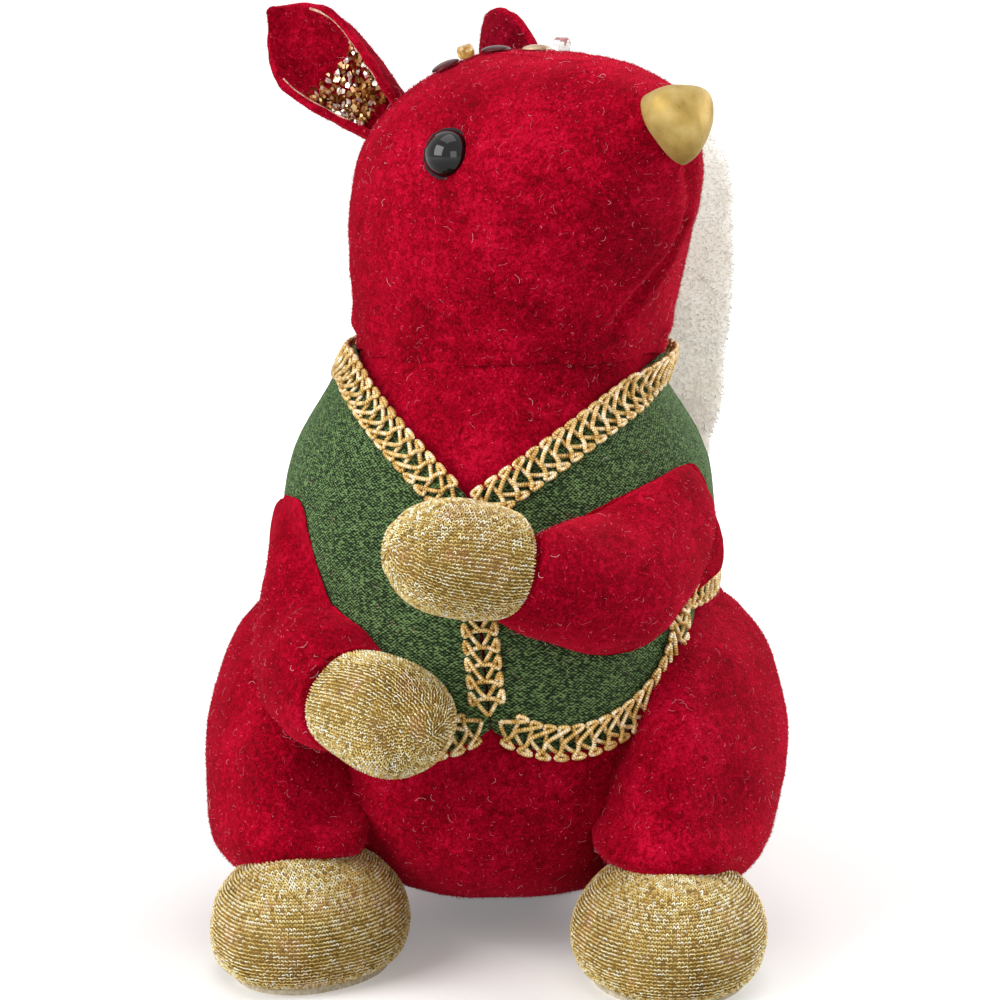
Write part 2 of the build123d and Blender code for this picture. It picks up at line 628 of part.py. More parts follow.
def crown_seat(step):
    """A place on the crown, along the row of trim."""
    turn = math.radians(TRIM_TURN)
    forward = MUZZLE_REACH * TRIM_PLACE[0] + TRIM_SPACING * step * math.cos(turn)
    left = HEAD_HALF_WIDTH * TRIM_PLACE[1] + TRIM_SPACING * step * math.sin(turn)
    return hit(head_form, head_point(forward, left, 2 * HEAD_HEIGHT), (0, 0, -1), 0).offset(CLEARANCE)


def holed(place, height, radius):
    return rod(place, 0, height, radius) - rod(place, 0, height, THREAD_HOLE)


sequins = [holed(crown_seat(step), SEQUIN_THICKNESS, SEQUIN_RADIUS) for step in SEQUIN_STEPS]
parts["crown_sequins"] = Compound(sequins)
for name, step in BEAD_STEPS.items():
    parts[name] = holed(crown_seat(step), BEAD_LENGTH, BEAD_RADIUS)

os.makedirs("parts", exist_ok=True)
finished = Pos(*NECK_PLACE, 0)
corners = []
for name, shape in parts.items():
    placed = finished * shape
    export_step(placed, f"parts/{name}.step")
    box = placed.bounding_box()
    corners += [box.min, box.max]
    print(name, placed.is_valid, len(placed.solids()), round(placed.volume))
for axis in ("X", "Y", "Z"):
    reach = [getattr(corner, axis) for corner in corners]
    print(axis, "from", round(min(reach), 2), "to", round(max(reach), 2))
print("neck axis at", (finished * Pos(0, 0, SEAM_HEIGHT)).position)
for side, place in shoulder_places.items():
    print(f"{side} shoulder at", (finished * Pos(place.origin)).position, "along", place.z_dir)
    print(f"{side} sole at", (finished * Pos(foot_place(side).origin)).position)
print("seat at", (finished * Pos(seat_middle.origin)).position)
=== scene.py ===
import bpy
import json
import math
import numpy as np
from mathutils import Matrix, Vector, noise
from mathutils.bvhtree import BVHTree

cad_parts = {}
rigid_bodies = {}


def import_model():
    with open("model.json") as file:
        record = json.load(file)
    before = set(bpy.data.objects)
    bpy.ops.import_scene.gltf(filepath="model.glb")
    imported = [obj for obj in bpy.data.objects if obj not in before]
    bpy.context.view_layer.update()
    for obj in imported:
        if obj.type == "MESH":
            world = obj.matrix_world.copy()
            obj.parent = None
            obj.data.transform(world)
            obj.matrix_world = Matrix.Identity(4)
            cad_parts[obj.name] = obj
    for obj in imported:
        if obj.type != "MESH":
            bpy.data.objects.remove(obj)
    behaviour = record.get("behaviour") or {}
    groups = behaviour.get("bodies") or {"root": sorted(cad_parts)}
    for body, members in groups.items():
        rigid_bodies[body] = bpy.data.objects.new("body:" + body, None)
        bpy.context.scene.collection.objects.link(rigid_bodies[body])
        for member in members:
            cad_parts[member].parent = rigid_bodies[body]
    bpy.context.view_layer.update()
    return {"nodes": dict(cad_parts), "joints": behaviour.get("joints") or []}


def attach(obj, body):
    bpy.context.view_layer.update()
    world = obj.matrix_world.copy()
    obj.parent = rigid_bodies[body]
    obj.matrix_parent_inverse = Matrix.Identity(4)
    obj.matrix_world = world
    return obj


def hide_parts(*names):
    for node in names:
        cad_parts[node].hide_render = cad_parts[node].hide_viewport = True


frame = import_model()
mm = 0.001
neckAxis = np.array((3.0, -5.35, 0.0))  # mm; body and head are drawn round this line
sides = {"right": -1, "left": 1}
print("frame loaded:", len(frame["nodes"]), "nodes")

# Camera, light and floor
shot = {"azimuth": 7.0, "elevation": 10.0, "distance": 900.0, "target": (0.0, -5.35, 93.0), "pixel": 0.217}
turn, rise = math.radians(shot["azimuth"]), math.radians(shot["elevation"])
towards = np.array((math.sin(turn) * math.cos(rise), -math.cos(turn) * math.cos(rise), math.sin(rise)))
rightward = np.array((math.cos(turn), math.sin(turn), 0.0))
upward = np.cross(towards, rightward)
eyePoint = np.array(shot["target"]) + towards * shot["distance"]


def addObject(name, data):
    obj = bpy.data.objects.new(name, data)
    bpy.context.scene.collection.objects.link(obj)
    return obj


def seenAt(x, y):  # direction of sight through a pixel of the 1000 x 1000 picture
    way = (rightward * (x - 500) - upward * (y - 500)) * shot["pixel"] - towards * shot["distance"]
    return way / np.linalg.norm(way)


def srgb(code):
    parts = [int(code[i:i + 2], 16) / 255 for i in (1, 3, 5)]
    return [c / 12.92 if c <= 0.04045 else ((c + 0.055) / 1.055) ** 2.4 for c in parts] + [1.0]


def addNode(tree, kind, links={}, stops=None, **settings):
    node = tree.nodes.new(kind)
    for key, value in settings.items():
        setattr(node, key, value)
    for key, value in links.items():
        found = [s for s in node.inputs if s.name == key and s.enabled]
        socket = node.inputs[key] if isinstance(key, int) else found[0]
        if isinstance(value, bpy.types.NodeSocket):
            tree.links.new(value, socket)
        else:
            socket.default_value = value
    for i, (place, code) in enumerate(stops or []):
        ramp = node.color_ramp.elements
        element = ramp[i] if i < 2 else ramp.new(place)
        element.position = place
        element.color = srgb(code)
    return node


def result(node, name=None):  # the output in use, for nodes that hide some of theirs
    return [o for o in node.outputs if o.enabled and name in (None, o.name)][0]


def newMaterial(name):
    mat = bpy.data.materials.new(name)
    mat.use_nodes = True
    mat.node_tree.nodes.clear()
    shader = addNode(mat.node_tree, "ShaderNodeBsdfPrincipled")
    addNode(mat.node_tree, "ShaderNodeOutputMaterial", {"Surface": shader.outputs["BSDF"]})
    return mat, mat.node_tree, shader


cameraData = bpy.data.cameras.new("camera")
cameraData.sensor_width = 36.0
cameraData.lens = 36.0 * shot["distance"] / (1000 * shot["pixel"])
camera = addObject("camera", cameraData)
camera.location = eyePoint * mm
camera.rotation_euler = Vector(-towards).to_track_quat("-Z", "Y").to_euler()
bpy.context.scene.camera = camera
bpy.context.scene.view_settings.view_transform = "Standard"

lamps = {  # place in mm, size in mm, watts
    "keySoftbox": ((460, -930, 300), (520, 520), 2.3),
    "leftSoftbox": ((-840, -770, 600), (900, 900), 15.6),
    "topSoftbox": ((-60, -60, 1250), (900, 900), 4.6),
    "backRim": ((560, 620, 600), (600, 600), 3.5),
    "tailSoftbox": ((680, 60, 420), (300, 300), 2.3),
}
for name, (place, size, watts) in lamps.items():
    lamp = bpy.data.lights.new(name, "AREA")
    lamp.shape = "RECTANGLE"
    lamp.size, lamp.size_y = size[0] * mm, size[1] * mm
    lamp.energy = watts
    obj = addObject(name, lamp)
    obj.location = Vector(place) * mm
    obj.rotation_euler = (Vector((0, -10, 90)) - Vector(place)).to_track_quat("-Z", "Y").to_euler()

world = bpy.data.worlds.new("studio")
bpy.context.scene.world = world
world.use_nodes = True
tree = world.node_tree
tree.nodes.clear()
rays = addNode(tree, "ShaderNodeLightPath")
shown = addNode(tree, "ShaderNodeMath", {0: rays.outputs["Is Camera Ray"], 1: rays.outputs["Is Transmission Ray"]}, operation="MAXIMUM")
shown = addNode(tree, "ShaderNodeMath", {0: shown.outputs[0], 1: rays.outputs["Is Glossy Ray"]}, operation="MAXIMUM")
ambient = addNode(tree, "ShaderNodeBackground", {"Color": srgb("#F4F6FA"), "Strength": 0.21})
white = addNode(tree, "ShaderNodeBackground", {"Color": srgb("#FFFFFF"), "Strength": 1.0})
mixed = addNode(tree, "ShaderNodeMixShader", {0: shown.outputs[0], 1: ambient.outputs[0], 2: white.outputs[0]})
addNode(tree, "ShaderNodeOutputWorld", {"Surface": mixed.outputs[0]})

floorMat, tree, shader = newMaterial("paleFloor")
shader.inputs["Roughness"].default_value = 0.9
shader.inputs["Specular IOR Level"].default_value = 0.1
shader.inputs["Emission Color"].default_value = srgb("#FFFFFF")
rays = addNode(tree, "ShaderNodeLightPath")
place = addNode(tree, "ShaderNodeTexCoord").outputs["Object"]
far = addNode(tree, "ShaderNodeVectorMath", {0: place}, operation="LENGTH")
paint = addNode(tree, "ShaderNodeMixRGB", {0: rays.outputs["Is Camera Ray"], 1: srgb("#C4C3C1"), 2: srgb("#F6F5F3")})
tree.links.new(paint.outputs[0], shader.inputs["Base Color"])
fade = addNode(tree, "ShaderNodeMapRange", {"Value": far.outputs["Value"], "From Min": 0.12, "From Max": 0.9, "To Min": 0.2, "To Max": 0.95})
shown = addNode(tree, "ShaderNodeMath", {0: rays.outputs["Is Camera Ray"], 1: rays.outputs["Is Transmission Ray"]}, operation="MAXIMUM")
shown = addNode(tree, "ShaderNodeMath", {0: shown.outputs[0], 1: rays.outputs["Is Glossy Ray"]}, operation="MAXIMUM")
glow = addNode(tree, "ShaderNodeMath", {0: shown.outputs[0], 1: fade.outputs[0]}, operation="MULTIPLY")
tree.links.new(glow.outputs[0], shader.inputs["Emission Strength"])
floorMesh = bpy.data.meshes.new("floor")
reach = 12.0
floorMesh.from_pydata([(-reach, -reach, 0), (reach, -reach, 0), (reach, reach, 0), (-reach, reach, 0)], [], [(0, 1, 2, 3)])
floorMesh.materials.append(floorMat)
addObject("floor", floorMesh)
print("camera, light and floor done")

# Materials
# Polyester velvet, dyed crimson: a short dense pile, deep where it is looked into and paler along the edges
velvetLook = {"deep": "#5C000A", "body": "#920019", "tip": "#C20C32", "pile": 0.4, "clump": 1.5, "brushed": 13.0}


def velvetMaterial(name, look):
    mat, tree, shader = newMaterial(name)
    place = addNode(tree, "ShaderNodeTexCoord").outputs["Object"]
    pile = addNode(tree, "ShaderNodeTexNoise", {"Vector": place, "Scale": 1 / (look["pile"] * mm), "Detail": 2.0})
    clumps = addNode(tree, "ShaderNodeTexNoise", {"Vector": place, "Scale": 1 / (look["clump"] * mm), "Detail": 4.0, "Distortion": 1.2})
    brushed = addNode(tree, "ShaderNodeTexNoise", {"Vector": place, "Scale": 1 / (look["brushed"] * mm), "Detail": 4.0})
    near = addNode(tree, "ShaderNodeMix", {"Factor": 0.55, "A": pile.outputs[0], "B": clumps.outputs[0]})
    share = addNode(tree, "ShaderNodeMix", {"Factor": 0.28, "A": result(near), "B": brushed.outputs[0]})
    stops = [(0.38, look["deep"]), (0.50, look["body"]), (0.62, look["tip"])]
    colour = addNode(tree, "ShaderNodeValToRGB", {"Fac": result(share)}, stops=stops)
    bump = addNode(tree, "ShaderNodeBump", {"Strength": 0.6, "Distance": 0.5 * mm, "Height": result(near)})
    tree.links.new(colour.outputs["Color"], shader.inputs["Base Color"])
    tree.links.new(bump.outputs[0], shader.inputs["Normal"])
    shader.inputs["Roughness"].default_value = 0.8
    shader.inputs["Specular IOR Level"].default_value = 0.03
    shader.inputs["Sheen Weight"].default_value = 0.7
    shader.inputs["Sheen Roughness"].default_value = 0.45
    shader.inputs["Sheen Tint"].default_value = srgb("#FF2A48")
    return mat


velvet = velvetMaterial("crimsonVelvet", velvetLook)

# Knitted velvet, bottle green: rows of fine stitches with a soft nap, paler where it turns away
vestLook = {"deep": "#091107", "body": "#23361C", "tip": "#6F8A55", "stitch": 0.9, "row": 0.7}
vestCloth, tree, shader = newMaterial("greenKnitVelvet")
place = addNode(tree, "ShaderNodeUVMap", uv_map="cloth").outputs[0]
wander = addNode(tree, "ShaderNodeTexNoise", {"Vector": place, "Scale": 1 / (2.5 * mm), "Detail": 2.0})
shift = addNode(tree, "ShaderNodeVectorMath", {0: wander.outputs[1], "Scale": 0.35 * mm}, operation="SCALE")
bent = addNode(tree, "ShaderNodeVectorMath", {0: place, 1: shift.outputs[0]}, operation="ADD")
split = addNode(tree, "ShaderNodeSeparateXYZ", {0: bent.outputs[0]})
waves = []
for output, pitch in (("X", vestLook["stitch"]), ("Y", vestLook["row"])):
    angle = addNode(tree, "ShaderNodeMath", {0: split.outputs[output], 1: 2 * math.pi / (pitch * mm)}, operation="MULTIPLY")
    waves.append(addNode(tree, "ShaderNodeMath", {0: angle.outputs[0]}, operation="SINE").outputs[0])
weave = addNode(tree, "ShaderNodeMath", {0: waves[0], 1: waves[1]}, operation="MULTIPLY")
drawn = addNode(tree, "ShaderNodeMapping", {"Vector": bent.outputs[0], "Rotation": (0, 0, 0.5), "Scale": (0.5, 1.2, 1.0)})
nap = addNode(tree, "ShaderNodeTexNoise", {"Vector": drawn.outputs[0], "Scale": 1 / (0.34 * mm), "Detail": 3.0})
fleck = addNode(tree, "ShaderNodeMath", {0: weave.outputs[0], 1: 0.12, 2: nap.outputs[0]}, operation="MULTIPLY_ADD")
stops = [(0.36, vestLook["deep"]), (0.5, vestLook["body"]), (0.63, vestLook["tip"])]
colour = addNode(tree, "ShaderNodeValToRGB", {"Fac": fleck.outputs[0]}, stops=stops)
bump = addNode(tree, "ShaderNodeBump", {"Strength": 0.6, "Distance": 0.3 * mm, "Height": fleck.outputs[0]})
tree.links.new(colour.outputs["Color"], shader.inputs["Base Color"])
tree.links.new(bump.outputs[0], shader.inputs["Normal"])
shader.inputs["Roughness"].default_value = 0.85
shader.inputs["Specular IOR Level"].default_value = 0.15
shader.inputs["Sheen Weight"].default_value = 0.35
shader.inputs["Sheen Roughness"].default_value = 0.45
shader.inputs["Sheen Tint"].default_value = srgb("#9CC58C")

# Gimp cord: metallised gold thread wound round a pale cotton core. Its colour follows the winding: painted shade in the
# grooves between the turns, a painted highlight near white on each crest, and uneven tone along the cord
gimpGold, tree, shader = newMaterial("gimpGoldCord")
cordLength = addNode(tree, "ShaderNodeAttribute", attribute_name="cordLength").outputs["Fac"]
cordTurn = addNode(tree, "ShaderNodeAttribute", attribute_name="cordTurn").outputs["Fac"]
wound = addNode(tree, "ShaderNodeMath", {0: cordLength, 1: 1 / (0.55 * mm), 2: cordTurn}, operation="MULTIPLY_ADD")
angle = addNode(tree, "ShaderNodeMath", {0: wound.outputs[0], 1: 2 * math.pi}, operation="MULTIPLY")
ridge = addNode(tree, "ShaderNodeMath", {0: angle.outputs[0]}, operation="SINE")
place = addNode(tree, "ShaderNodeTexCoord").outputs["Object"]
uneven = addNode(tree, "ShaderNodeTexNoise", {"Vector": place, "Scale": 1 / (1.6 * mm), "Detail": 3.0})
# painted light and shade: darker in the grooves between the turns, paler on the crests
shade = addNode(tree, "ShaderNodeMath", {0: ridge.outputs[0], 1: 0.11, 2: uneven.outputs[0]}, operation="MULTIPLY_ADD")
stops = [(0.3, "#8F6422"), (0.43, "#CFA24C"), (0.58, "#E9CA86"), (0.7, "#FFF6E4")]
colour = addNode(tree, "ShaderNodeValToRGB", {"Fac": shade.outputs[0]}, stops=stops)
bump = addNode(tree, "ShaderNodeBump", {"Strength": 0.4, "Distance": 0.12 * mm, "Height": ridge.outputs[0]})
tree.links.new(colour.outputs["Color"], shader.inputs["Base Color"])
tree.links.new(bump.outputs[0], shader.inputs["Normal"])
shader.inputs["Metallic"].default_value = 0.2
shader.inputs["Roughness"].default_value = 0.4

# Gold lurex knit: flat metallised threads among beige yarn, so single stitches flash and others stay dull; each stitch
# has a tone of its own, and the palest tones, near white, are a painted glint
lurexYarn, tree, shader = newMaterial("goldLurexYarn")
glint = addNode(tree, "ShaderNodeAttribute", attribute_name="glint").outputs["Fac"]
place = addNode(tree, "ShaderNodeTexCoord").outputs["Object"]
fine = addNode(tree, "ShaderNodeTexNoise", {"Vector": place, "Scale": 1 / (0.35 * mm), "Detail": 2.0})
share = addNode(tree, "ShaderNodeMix", {"Factor": 0.4, "A": glint, "B": fine.outputs[0]})
# the top stops, near white, are painted glints on single stitches; the lower ones are the gold and beige tones of the
# threads
stops = [(0.2, "#8A661C"), (0.28, "#D4AF54"), (0.55, "#F0DA92"), (0.66, "#FDF0B8"), (0.76, "#FFFDEA")]
colour = addNode(tree, "ShaderNodeValToRGB", {"Fac": result(share)}, stops=stops)
blush = addNode(tree, "ShaderNodeTexNoise", {"Vector": place, "Scale": 1 / (9 * mm), "Detail": 3.0})
pink = addNode(tree, "ShaderNodeMapRange", {"Value": blush.outputs[0], "From Min": 0.55, "From Max": 0.75, "To Max": 0.35})
colour = addNode(tree, "ShaderNodeMixRGB", {0: pink.outputs[0], 1: colour.outputs["Color"], 2: srgb("#E8B7A2")})
metal = addNode(tree, "ShaderNodeMapRange", {"Value": glint, "From Min": 0.3, "From Max": 0.75, "To Min": 0.0, "To Max": 0.25})
bump = addNode(tree, "ShaderNodeBump", {"Strength": 0.7, "Distance": 0.12 * mm, "Height": fine.outputs[0]})
tree.links.new(colour.outputs["Color"], shader.inputs["Base Color"])
tree.links.new(metal.outputs[0], shader.inputs["Metallic"])
tree.links.new(bump.outputs[0], shader.inputs["Normal"])
shader.inputs["Roughness"].default_value = 0.32

# Backing of the knit: beige jersey with a pink tinge, painted darker than the jersey is, as the shade between the
# stitches
shadedLurexBacking, tree, shader = newMaterial("beigeJerseyPaintedShade")
place = addNode(tree, "ShaderNodeTexCoord").outputs["Object"]
blush = addNode(tree, "ShaderNodeTexNoise", {"Vector": place, "Scale": 1 / (8 * mm), "Detail": 3.0})
colour = addNode(tree, "ShaderNodeValToRGB", {"Fac": blush.outputs[0]}, stops=[(0.35, "#6E5520"), (0.55, "#8C7032"), (0.7, "#A06E58")])
tree.links.new(colour.outputs["Color"], shader.inputs["Base Color"])
shader.inputs["Roughness"].default_value = 0.9

# Short cream plush: matted pile with faint beige stains
plush, tree, shader = newMaterial("creamPlush")
place = addNode(tree, "ShaderNodeTexCoord").outputs["Object"]
stain = addNode(tree, "ShaderNodeTexNoise", {"Vector": place, "Scale": 1 / (26 * mm), "Detail": 4.0})
pile = addNode(tree, "ShaderNodeTexNoise", {"Vector": place, "Scale": 1 / (1.1 * mm), "Detail": 3.0})
share = addNode(tree, "ShaderNodeMix", {"Factor": 0.3, "A": stain.outputs[0], "B": pile.outputs[0]})
colour = addNode(tree, "ShaderNodeValToRGB", {"Fac": result(share)}, stops=[(0.27, "#E2D0AE"), (0.42, "#F6F0E4"), (0.7, "#FDFAF2")])
bump = addNode(tree, "ShaderNodeBump", {"Strength": 0.5, "Distance": 0.6 * mm, "Height": pile.outputs[0]})
tree.links.new(colour.outputs["Color"], shader.inputs["Base Color"])
tree.links.new(bump.outputs[0], shader.inputs["Normal"])
shader.inputs["Roughness"].default_value = 0.9
shader.inputs["Sheen Weight"].default_value = 0.25

# Acrylic eye: polished, near black
eyeBlack, tree, shader = newMaterial("blackAcrylic")
place = addNode(tree, "ShaderNodeTexCoord").outputs["Object"]
haze = addNode(tree, "ShaderNodeTexNoise", {"Vector": place, "Scale": 1 / (2 * mm), "Detail": 3.0})
gloss = addNode(tree, "ShaderNodeMapRange", {"Value": haze.outputs[0], "From Min": 0.3, "From Max": 0.8, "To Min": 0.04, "To Max": 0.1})
tree.links.new(gloss.outputs[0], shader.inputs["Roughness"])
shader.inputs["Base Color"].default_value = srgb("#050507")
shader.inputs["IOR"].default_value = 1.49
shader.inputs["Specular IOR Level"].default_value = 0.4

# Gold paint on moulded plastic: satin, with pits and dust
noseGold, tree, shader = newMaterial("satinGoldPaint")
place = addNode(tree, "ShaderNodeTexCoord").outputs["Object"]
worn = addNode(tree, "ShaderNodeTexNoise", {"Vector": place, "Scale": 1 / (4 * mm), "Detail": 5.0})
pits = addNode(tree, "ShaderNodeTexVoronoi", {"Vector": place, "Scale": 1 / (1.3 * mm)})
pit = addNode(tree, "ShaderNodeMapRange", {"Value": pits.outputs["Distance"], "From Min": 0.04, "From Max": 0.14})
colour = addNode(tree, "ShaderNodeValToRGB", {"Fac": worn.outputs[0]}, stops=[(0.3, "#967A38"), (0.52, "#AC9150"), (0.75, "#B8A26A")])
dusty = addNode(tree, "ShaderNodeMixRGB", {0: pit.outputs[0], 1: srgb("#6B5522"), 2: colour.outputs[0]})
rough = addNode(tree, "ShaderNodeMapRange", {"Value": worn.outputs[0], "To Min": 0.48, "To Max": 0.66})
bump = addNode(tree, "ShaderNodeBump", {"Strength": 0.25, "Distance": 0.1 * mm, "Height": pit.outputs[0]})
tree.links.new(dusty.outputs[0], shader.inputs["Base Color"])
tree.links.new(rough.outputs[0], shader.inputs["Roughness"])
tree.links.new(bump.outputs[0], shader.inputs["Normal"])
shader.inputs["Metallic"].default_value = 0.6

# Felt: flat, fibrous, pale
felt, tree, shader = newMaterial("paleFelt")
place = addNode(tree, "ShaderNodeTexCoord").outputs["Object"]
fibres = addNode(tree, "ShaderNodeTexNoise", {"Vector": place, "Scale": 1 / (0.9 * mm), "Detail": 5.0})
colour = addNode(tree, "ShaderNodeValToRGB", {"Fac": fibres.outputs[0]}, stops=[(0.3, "#B9A888"), (0.7, "#E3D9C4")])
bump = addNode(tree, "ShaderNodeBump", {"Strength": 0.5, "Distance": 0.2 * mm, "Height": fibres.outputs[0]})
tree.links.new(colour.outputs["Color"], shader.inputs["Base Color"])
tree.links.new(bump.outputs[0], shader.inputs["Normal"])
shader.inputs["Roughness"].default_value = 0.95

# Beech and drawn steel wire, inside the figure
beech, tree, shader = newMaterial("plainBeech")
place = addNode(tree, "ShaderNodeTexCoord").outputs["Object"]
grain = addNode(tree, "ShaderNodeTexWave", {"Vector": place, "Scale": 1 / (6 * mm), "Distortion": 4.0, "Detail": 3.0})
colour = addNode(tree, "ShaderNodeValToRGB", {"Fac": grain.outputs[0]}, stops=[(0.2, "#B98A58"), (0.8, "#D9B486")])
tree.links.new(colour.outputs["Color"], shader.inputs["Base Color"])
shader.inputs["Roughness"].default_value = 0.6
steel, tree, shader = newMaterial("drawnSteelWire")
place = addNode(tree, "ShaderNodeTexCoord").outputs["Object"]
drawn = addNode(tree, "ShaderNodeTexNoise", {"Vector": place, "Scale": 1 / (0.5 * mm), "Detail": 3.0})
rough = addNode(tree, "ShaderNodeMapRange", {"Value": drawn.outputs[0], "To Min": 0.25, "To Max": 0.5})
tree.links.new(rough.outputs[0], shader.inputs["Roughness"])
shader.inputs["Base Color"].default_value = srgb("#B9BBBD")
shader.inputs["Metallic"].default_value = 1.0

# Lint: stray pale fibres that cling to the velvet
lint, tree, shader = newMaterial("paleLint")
shade = addNode(tree, "ShaderNodeAttribute", attribute_name="shade").outputs["Fac"]
colour = addNode(tree, "ShaderNodeValToRGB", {"Fac": shade}, stops=[(0.0, "#B93850"), (0.6, "#DC7E8E"), (1.0, "#FBE4E6")])
tree.links.new(colour.outputs["Color"], shader.inputs["Base Color"])
shader.inputs["Roughness"].default_value = 0.6
shader.inputs["Sheen Weight"].default_value = 0.2

# Raw edge of the ear's backing cloth
rawEdge, tree, shader = newMaterial("beigeRawEdge")
place = addNode(tree, "ShaderNodeTexCoord").outputs["Object"]
threads = addNode(tree, "ShaderNodeTexNoise", {"Vector": place, "Scale": 1 / (0.7 * mm), "Detail": 3.0})
colour = addNode(tree, "ShaderNodeValToRGB", {"Fac": threads.outputs[0]}, stops=[(0.35, "#A0604E"), (0.55, "#CDA188"), (0.75, "#EAD6C0")])
tree.links.new(colour.outputs["Color"], shader.inputs["Base Color"])
shader.inputs["Roughness"].default_value = 0.9

# Crushed glass, clear and amber, with a mirrored back that makes it flash
chipMats = []
for name, stops in {"amberChips": [(0.1, "#7A4A1A"), (0.4, "#B9823C"), (0.7, "#E2BC78")], "clearChips": [(0.2, "#9C8A70"), (0.5, "#DCCFB6"), (0.8, "#FFF8EA")]}.items():
    mat, tree, shader = newMaterial(name)
    tone = addNode(tree, "ShaderNodeAttribute", attribute_name="tone").outputs["Fac"]
    colour = addNode(tree, "ShaderNodeValToRGB", {"Fac": tone}, stops=stops)
    tree.links.new(colour.outputs["Color"], shader.inputs["Base Color"])
    shader.inputs["Metallic"].default_value = 0.55
    shader.inputs["Roughness"].default_value = 0.08
    shader.inputs["Coat Weight"].default_value = 1.0
    chipMats.append(mat)

# Sequins: dyed film with a lacquered face; seed beads of glass, one lined with gold
trimMats = {}
for name, (dark, light) in {"burgundySequin": ("#2A070C", "#5A1A1E"), "champagneSequin": ("#8F6A48", "#D8BF9C")}.items():
    mat, tree, shader = newMaterial(name)
    place = addNode(tree, "ShaderNodeTexCoord").outputs["Object"]
    tint = addNode(tree, "ShaderNodeTexNoise", {"Vector": place, "Scale": 1 / (3 * mm), "Detail": 2.0})
    colour = addNode(tree, "ShaderNodeValToRGB", {"Fac": tint.outputs[0]}, stops=[(0.3, dark), (0.7, light)])
    tree.links.new(colour.outputs["Color"], shader.inputs["Base Color"])
    shader.inputs["Metallic"].default_value = 0.3
    shader.inputs["Roughness"].default_value = 0.3
    shader.inputs["Specular IOR Level"].default_value = 0.2
    trimMats[name] = mat
for name, tints, clear in (("goldLinedGlass", ("#B98A2C", "#F3D68A"), 0.45), ("clearGlass", ("#E8E4DC", "#FFFFFF"), 0.85)):
    mat, tree, shader = newMaterial(name)
    place = addNode(tree, "ShaderNodeTexCoord").outputs["Object"]
    tint = addNode(tree, "ShaderNodeTexNoise", {"Vector": place, "Scale": 1 / (1.2 * mm), "Detail": 2.0})
    colour = addNode(tree, "ShaderNodeValToRGB", {"Fac": tint.outputs[0]}, stops=[(0.35, tints[0]), (0.65, tints[1])])
    tree.links.new(colour.outputs["Color"], shader.inputs["Base Color"])
    shader.inputs["Roughness"].default_value = 0.05
    shader.inputs["IOR"].default_value = 1.5
    shader.inputs["Transmission Weight"].default_value = clear
    trimMats[name] = mat
print("materials done:", len(bpy.data.materials))


# Forms: every stuffed form is a stack of rings, in mm, as (rings, points, xyz)
def spread(rows, count):  # smooth rows through the given ones
    rows = np.array(rows, float)
    t = np.linspace(0, len(rows) - 1, count)
    i = np.clip(t.astype(int), 0, len(rows) - 2)
    f = (t - i)[:, None]
    p0, p1, p2, p3 = (rows[np.clip(i + k, 0, len(rows) - 1)] for k in (-1, 0, 1, 2))
    return 0.5 * (2 * p1 + (p2 - p0) * f + (2 * p0 - 5 * p1 + 4 * p2 - p3) * f**2 + (3 * p1 - p0 - 3 * p2 + p3) * f**3)


def ovalRing(halfX, halfY, count):  # four tangent arcs
    angle = np.arange(count) * 2 * math.pi / count - math.pi / 2
    shift = (halfX - halfY) / (2 - math.sqrt(2))
    c, s = np.cos(angle), np.sin(angle)
    flank = abs(c) > abs(s)
    x = np.where(flank, np.sign(c) * shift + (halfX - shift) * c, (halfY + shift) * c)
    y = np.where(flank, (halfX - shift) * s, (halfY + shift) * s - np.sign(s) * shift)
    return np.stack([x, y], 1)


def evened(points, count):  # the same closed outline with evenly spaced points
    closed = np.vstack([points, points[:1]])
    far = np.concatenate([[0], np.cumsum(np.linalg.norm(np.diff(closed, axis=0), axis=1))])
    want = np.arange(count) * far[-1] / count
    return np.stack([np.interp(want, far, closed[:, k]) for k in range(closed.shape[1])], 1)


def eggRing(halfWidth, back, front, end, count):  # round back, tangent flanks, smaller round front along x
    backX, frontX = halfWidth - back, front - end
    reach = frontX - backX
    flank = (reach**2 + halfWidth**2 - end**2) / (2 * (halfWidth - end))
    slope = math.atan2(flank - halfWidth, reach)
    rear = np.linspace(math.pi, math.pi / 2, 60)
    side = np.linspace(math.pi / 2, slope, 60)[1:]
    nose = np.linspace(slope, 0, 40)[1:]
    x = np.concatenate([backX + halfWidth * np.cos(rear), backX + flank * np.cos(side), frontX + end * np.cos(nose)])
    y = np.concatenate([halfWidth * np.sin(rear), flank * np.sin(side) - flank + halfWidth, end * np.sin(nose)])
    return evened(np.stack([np.concatenate([x, x[-2:0:-1]]), np.concatenate([-y, y[-2:0:-1]])], 1), count)


def domed(rings, first, last, steps=7):  # closes both ends; first and last are the heights of the domes
    rings = [np.array(r) for r in rings]
    for end, height in ((0, first), (-1, last)):
        ring, before = rings[end], rings[1 if end == 0 else -2]
        middle = ring.mean(0)
        way = middle - before.mean(0)
        way = way / np.linalg.norm(way)
        for angle in np.linspace(0, math.pi / 2, steps + 1)[1:]:
            share = max(math.cos(angle), 0.004)
            new = middle + (ring - middle) * share + way * height * math.sin(angle)
            rings.insert(0, new) if end == 0 else rings.append(new)
    return np.array(rings)


def gridNormals(rings):
    around = np.roll(rings, -1, 1) - np.roll(rings, 1, 1)
    along = np.gradient(rings, axis=0)
    n = np.cross(around, along)
    return n / np.maximum(np.linalg.norm(n, axis=2, keepdims=True), 1e-9)


def gridFaces(rows, cols):
    i, j = np.meshgrid(np.arange(rows - 1), np.arange(cols), indexing="ij")
    k = (j + 1) % cols
    return np.stack([i * cols + j, i * cols + k, (i + 1) * cols + k, (i + 1) * cols + j], 2).reshape(-1, 4)


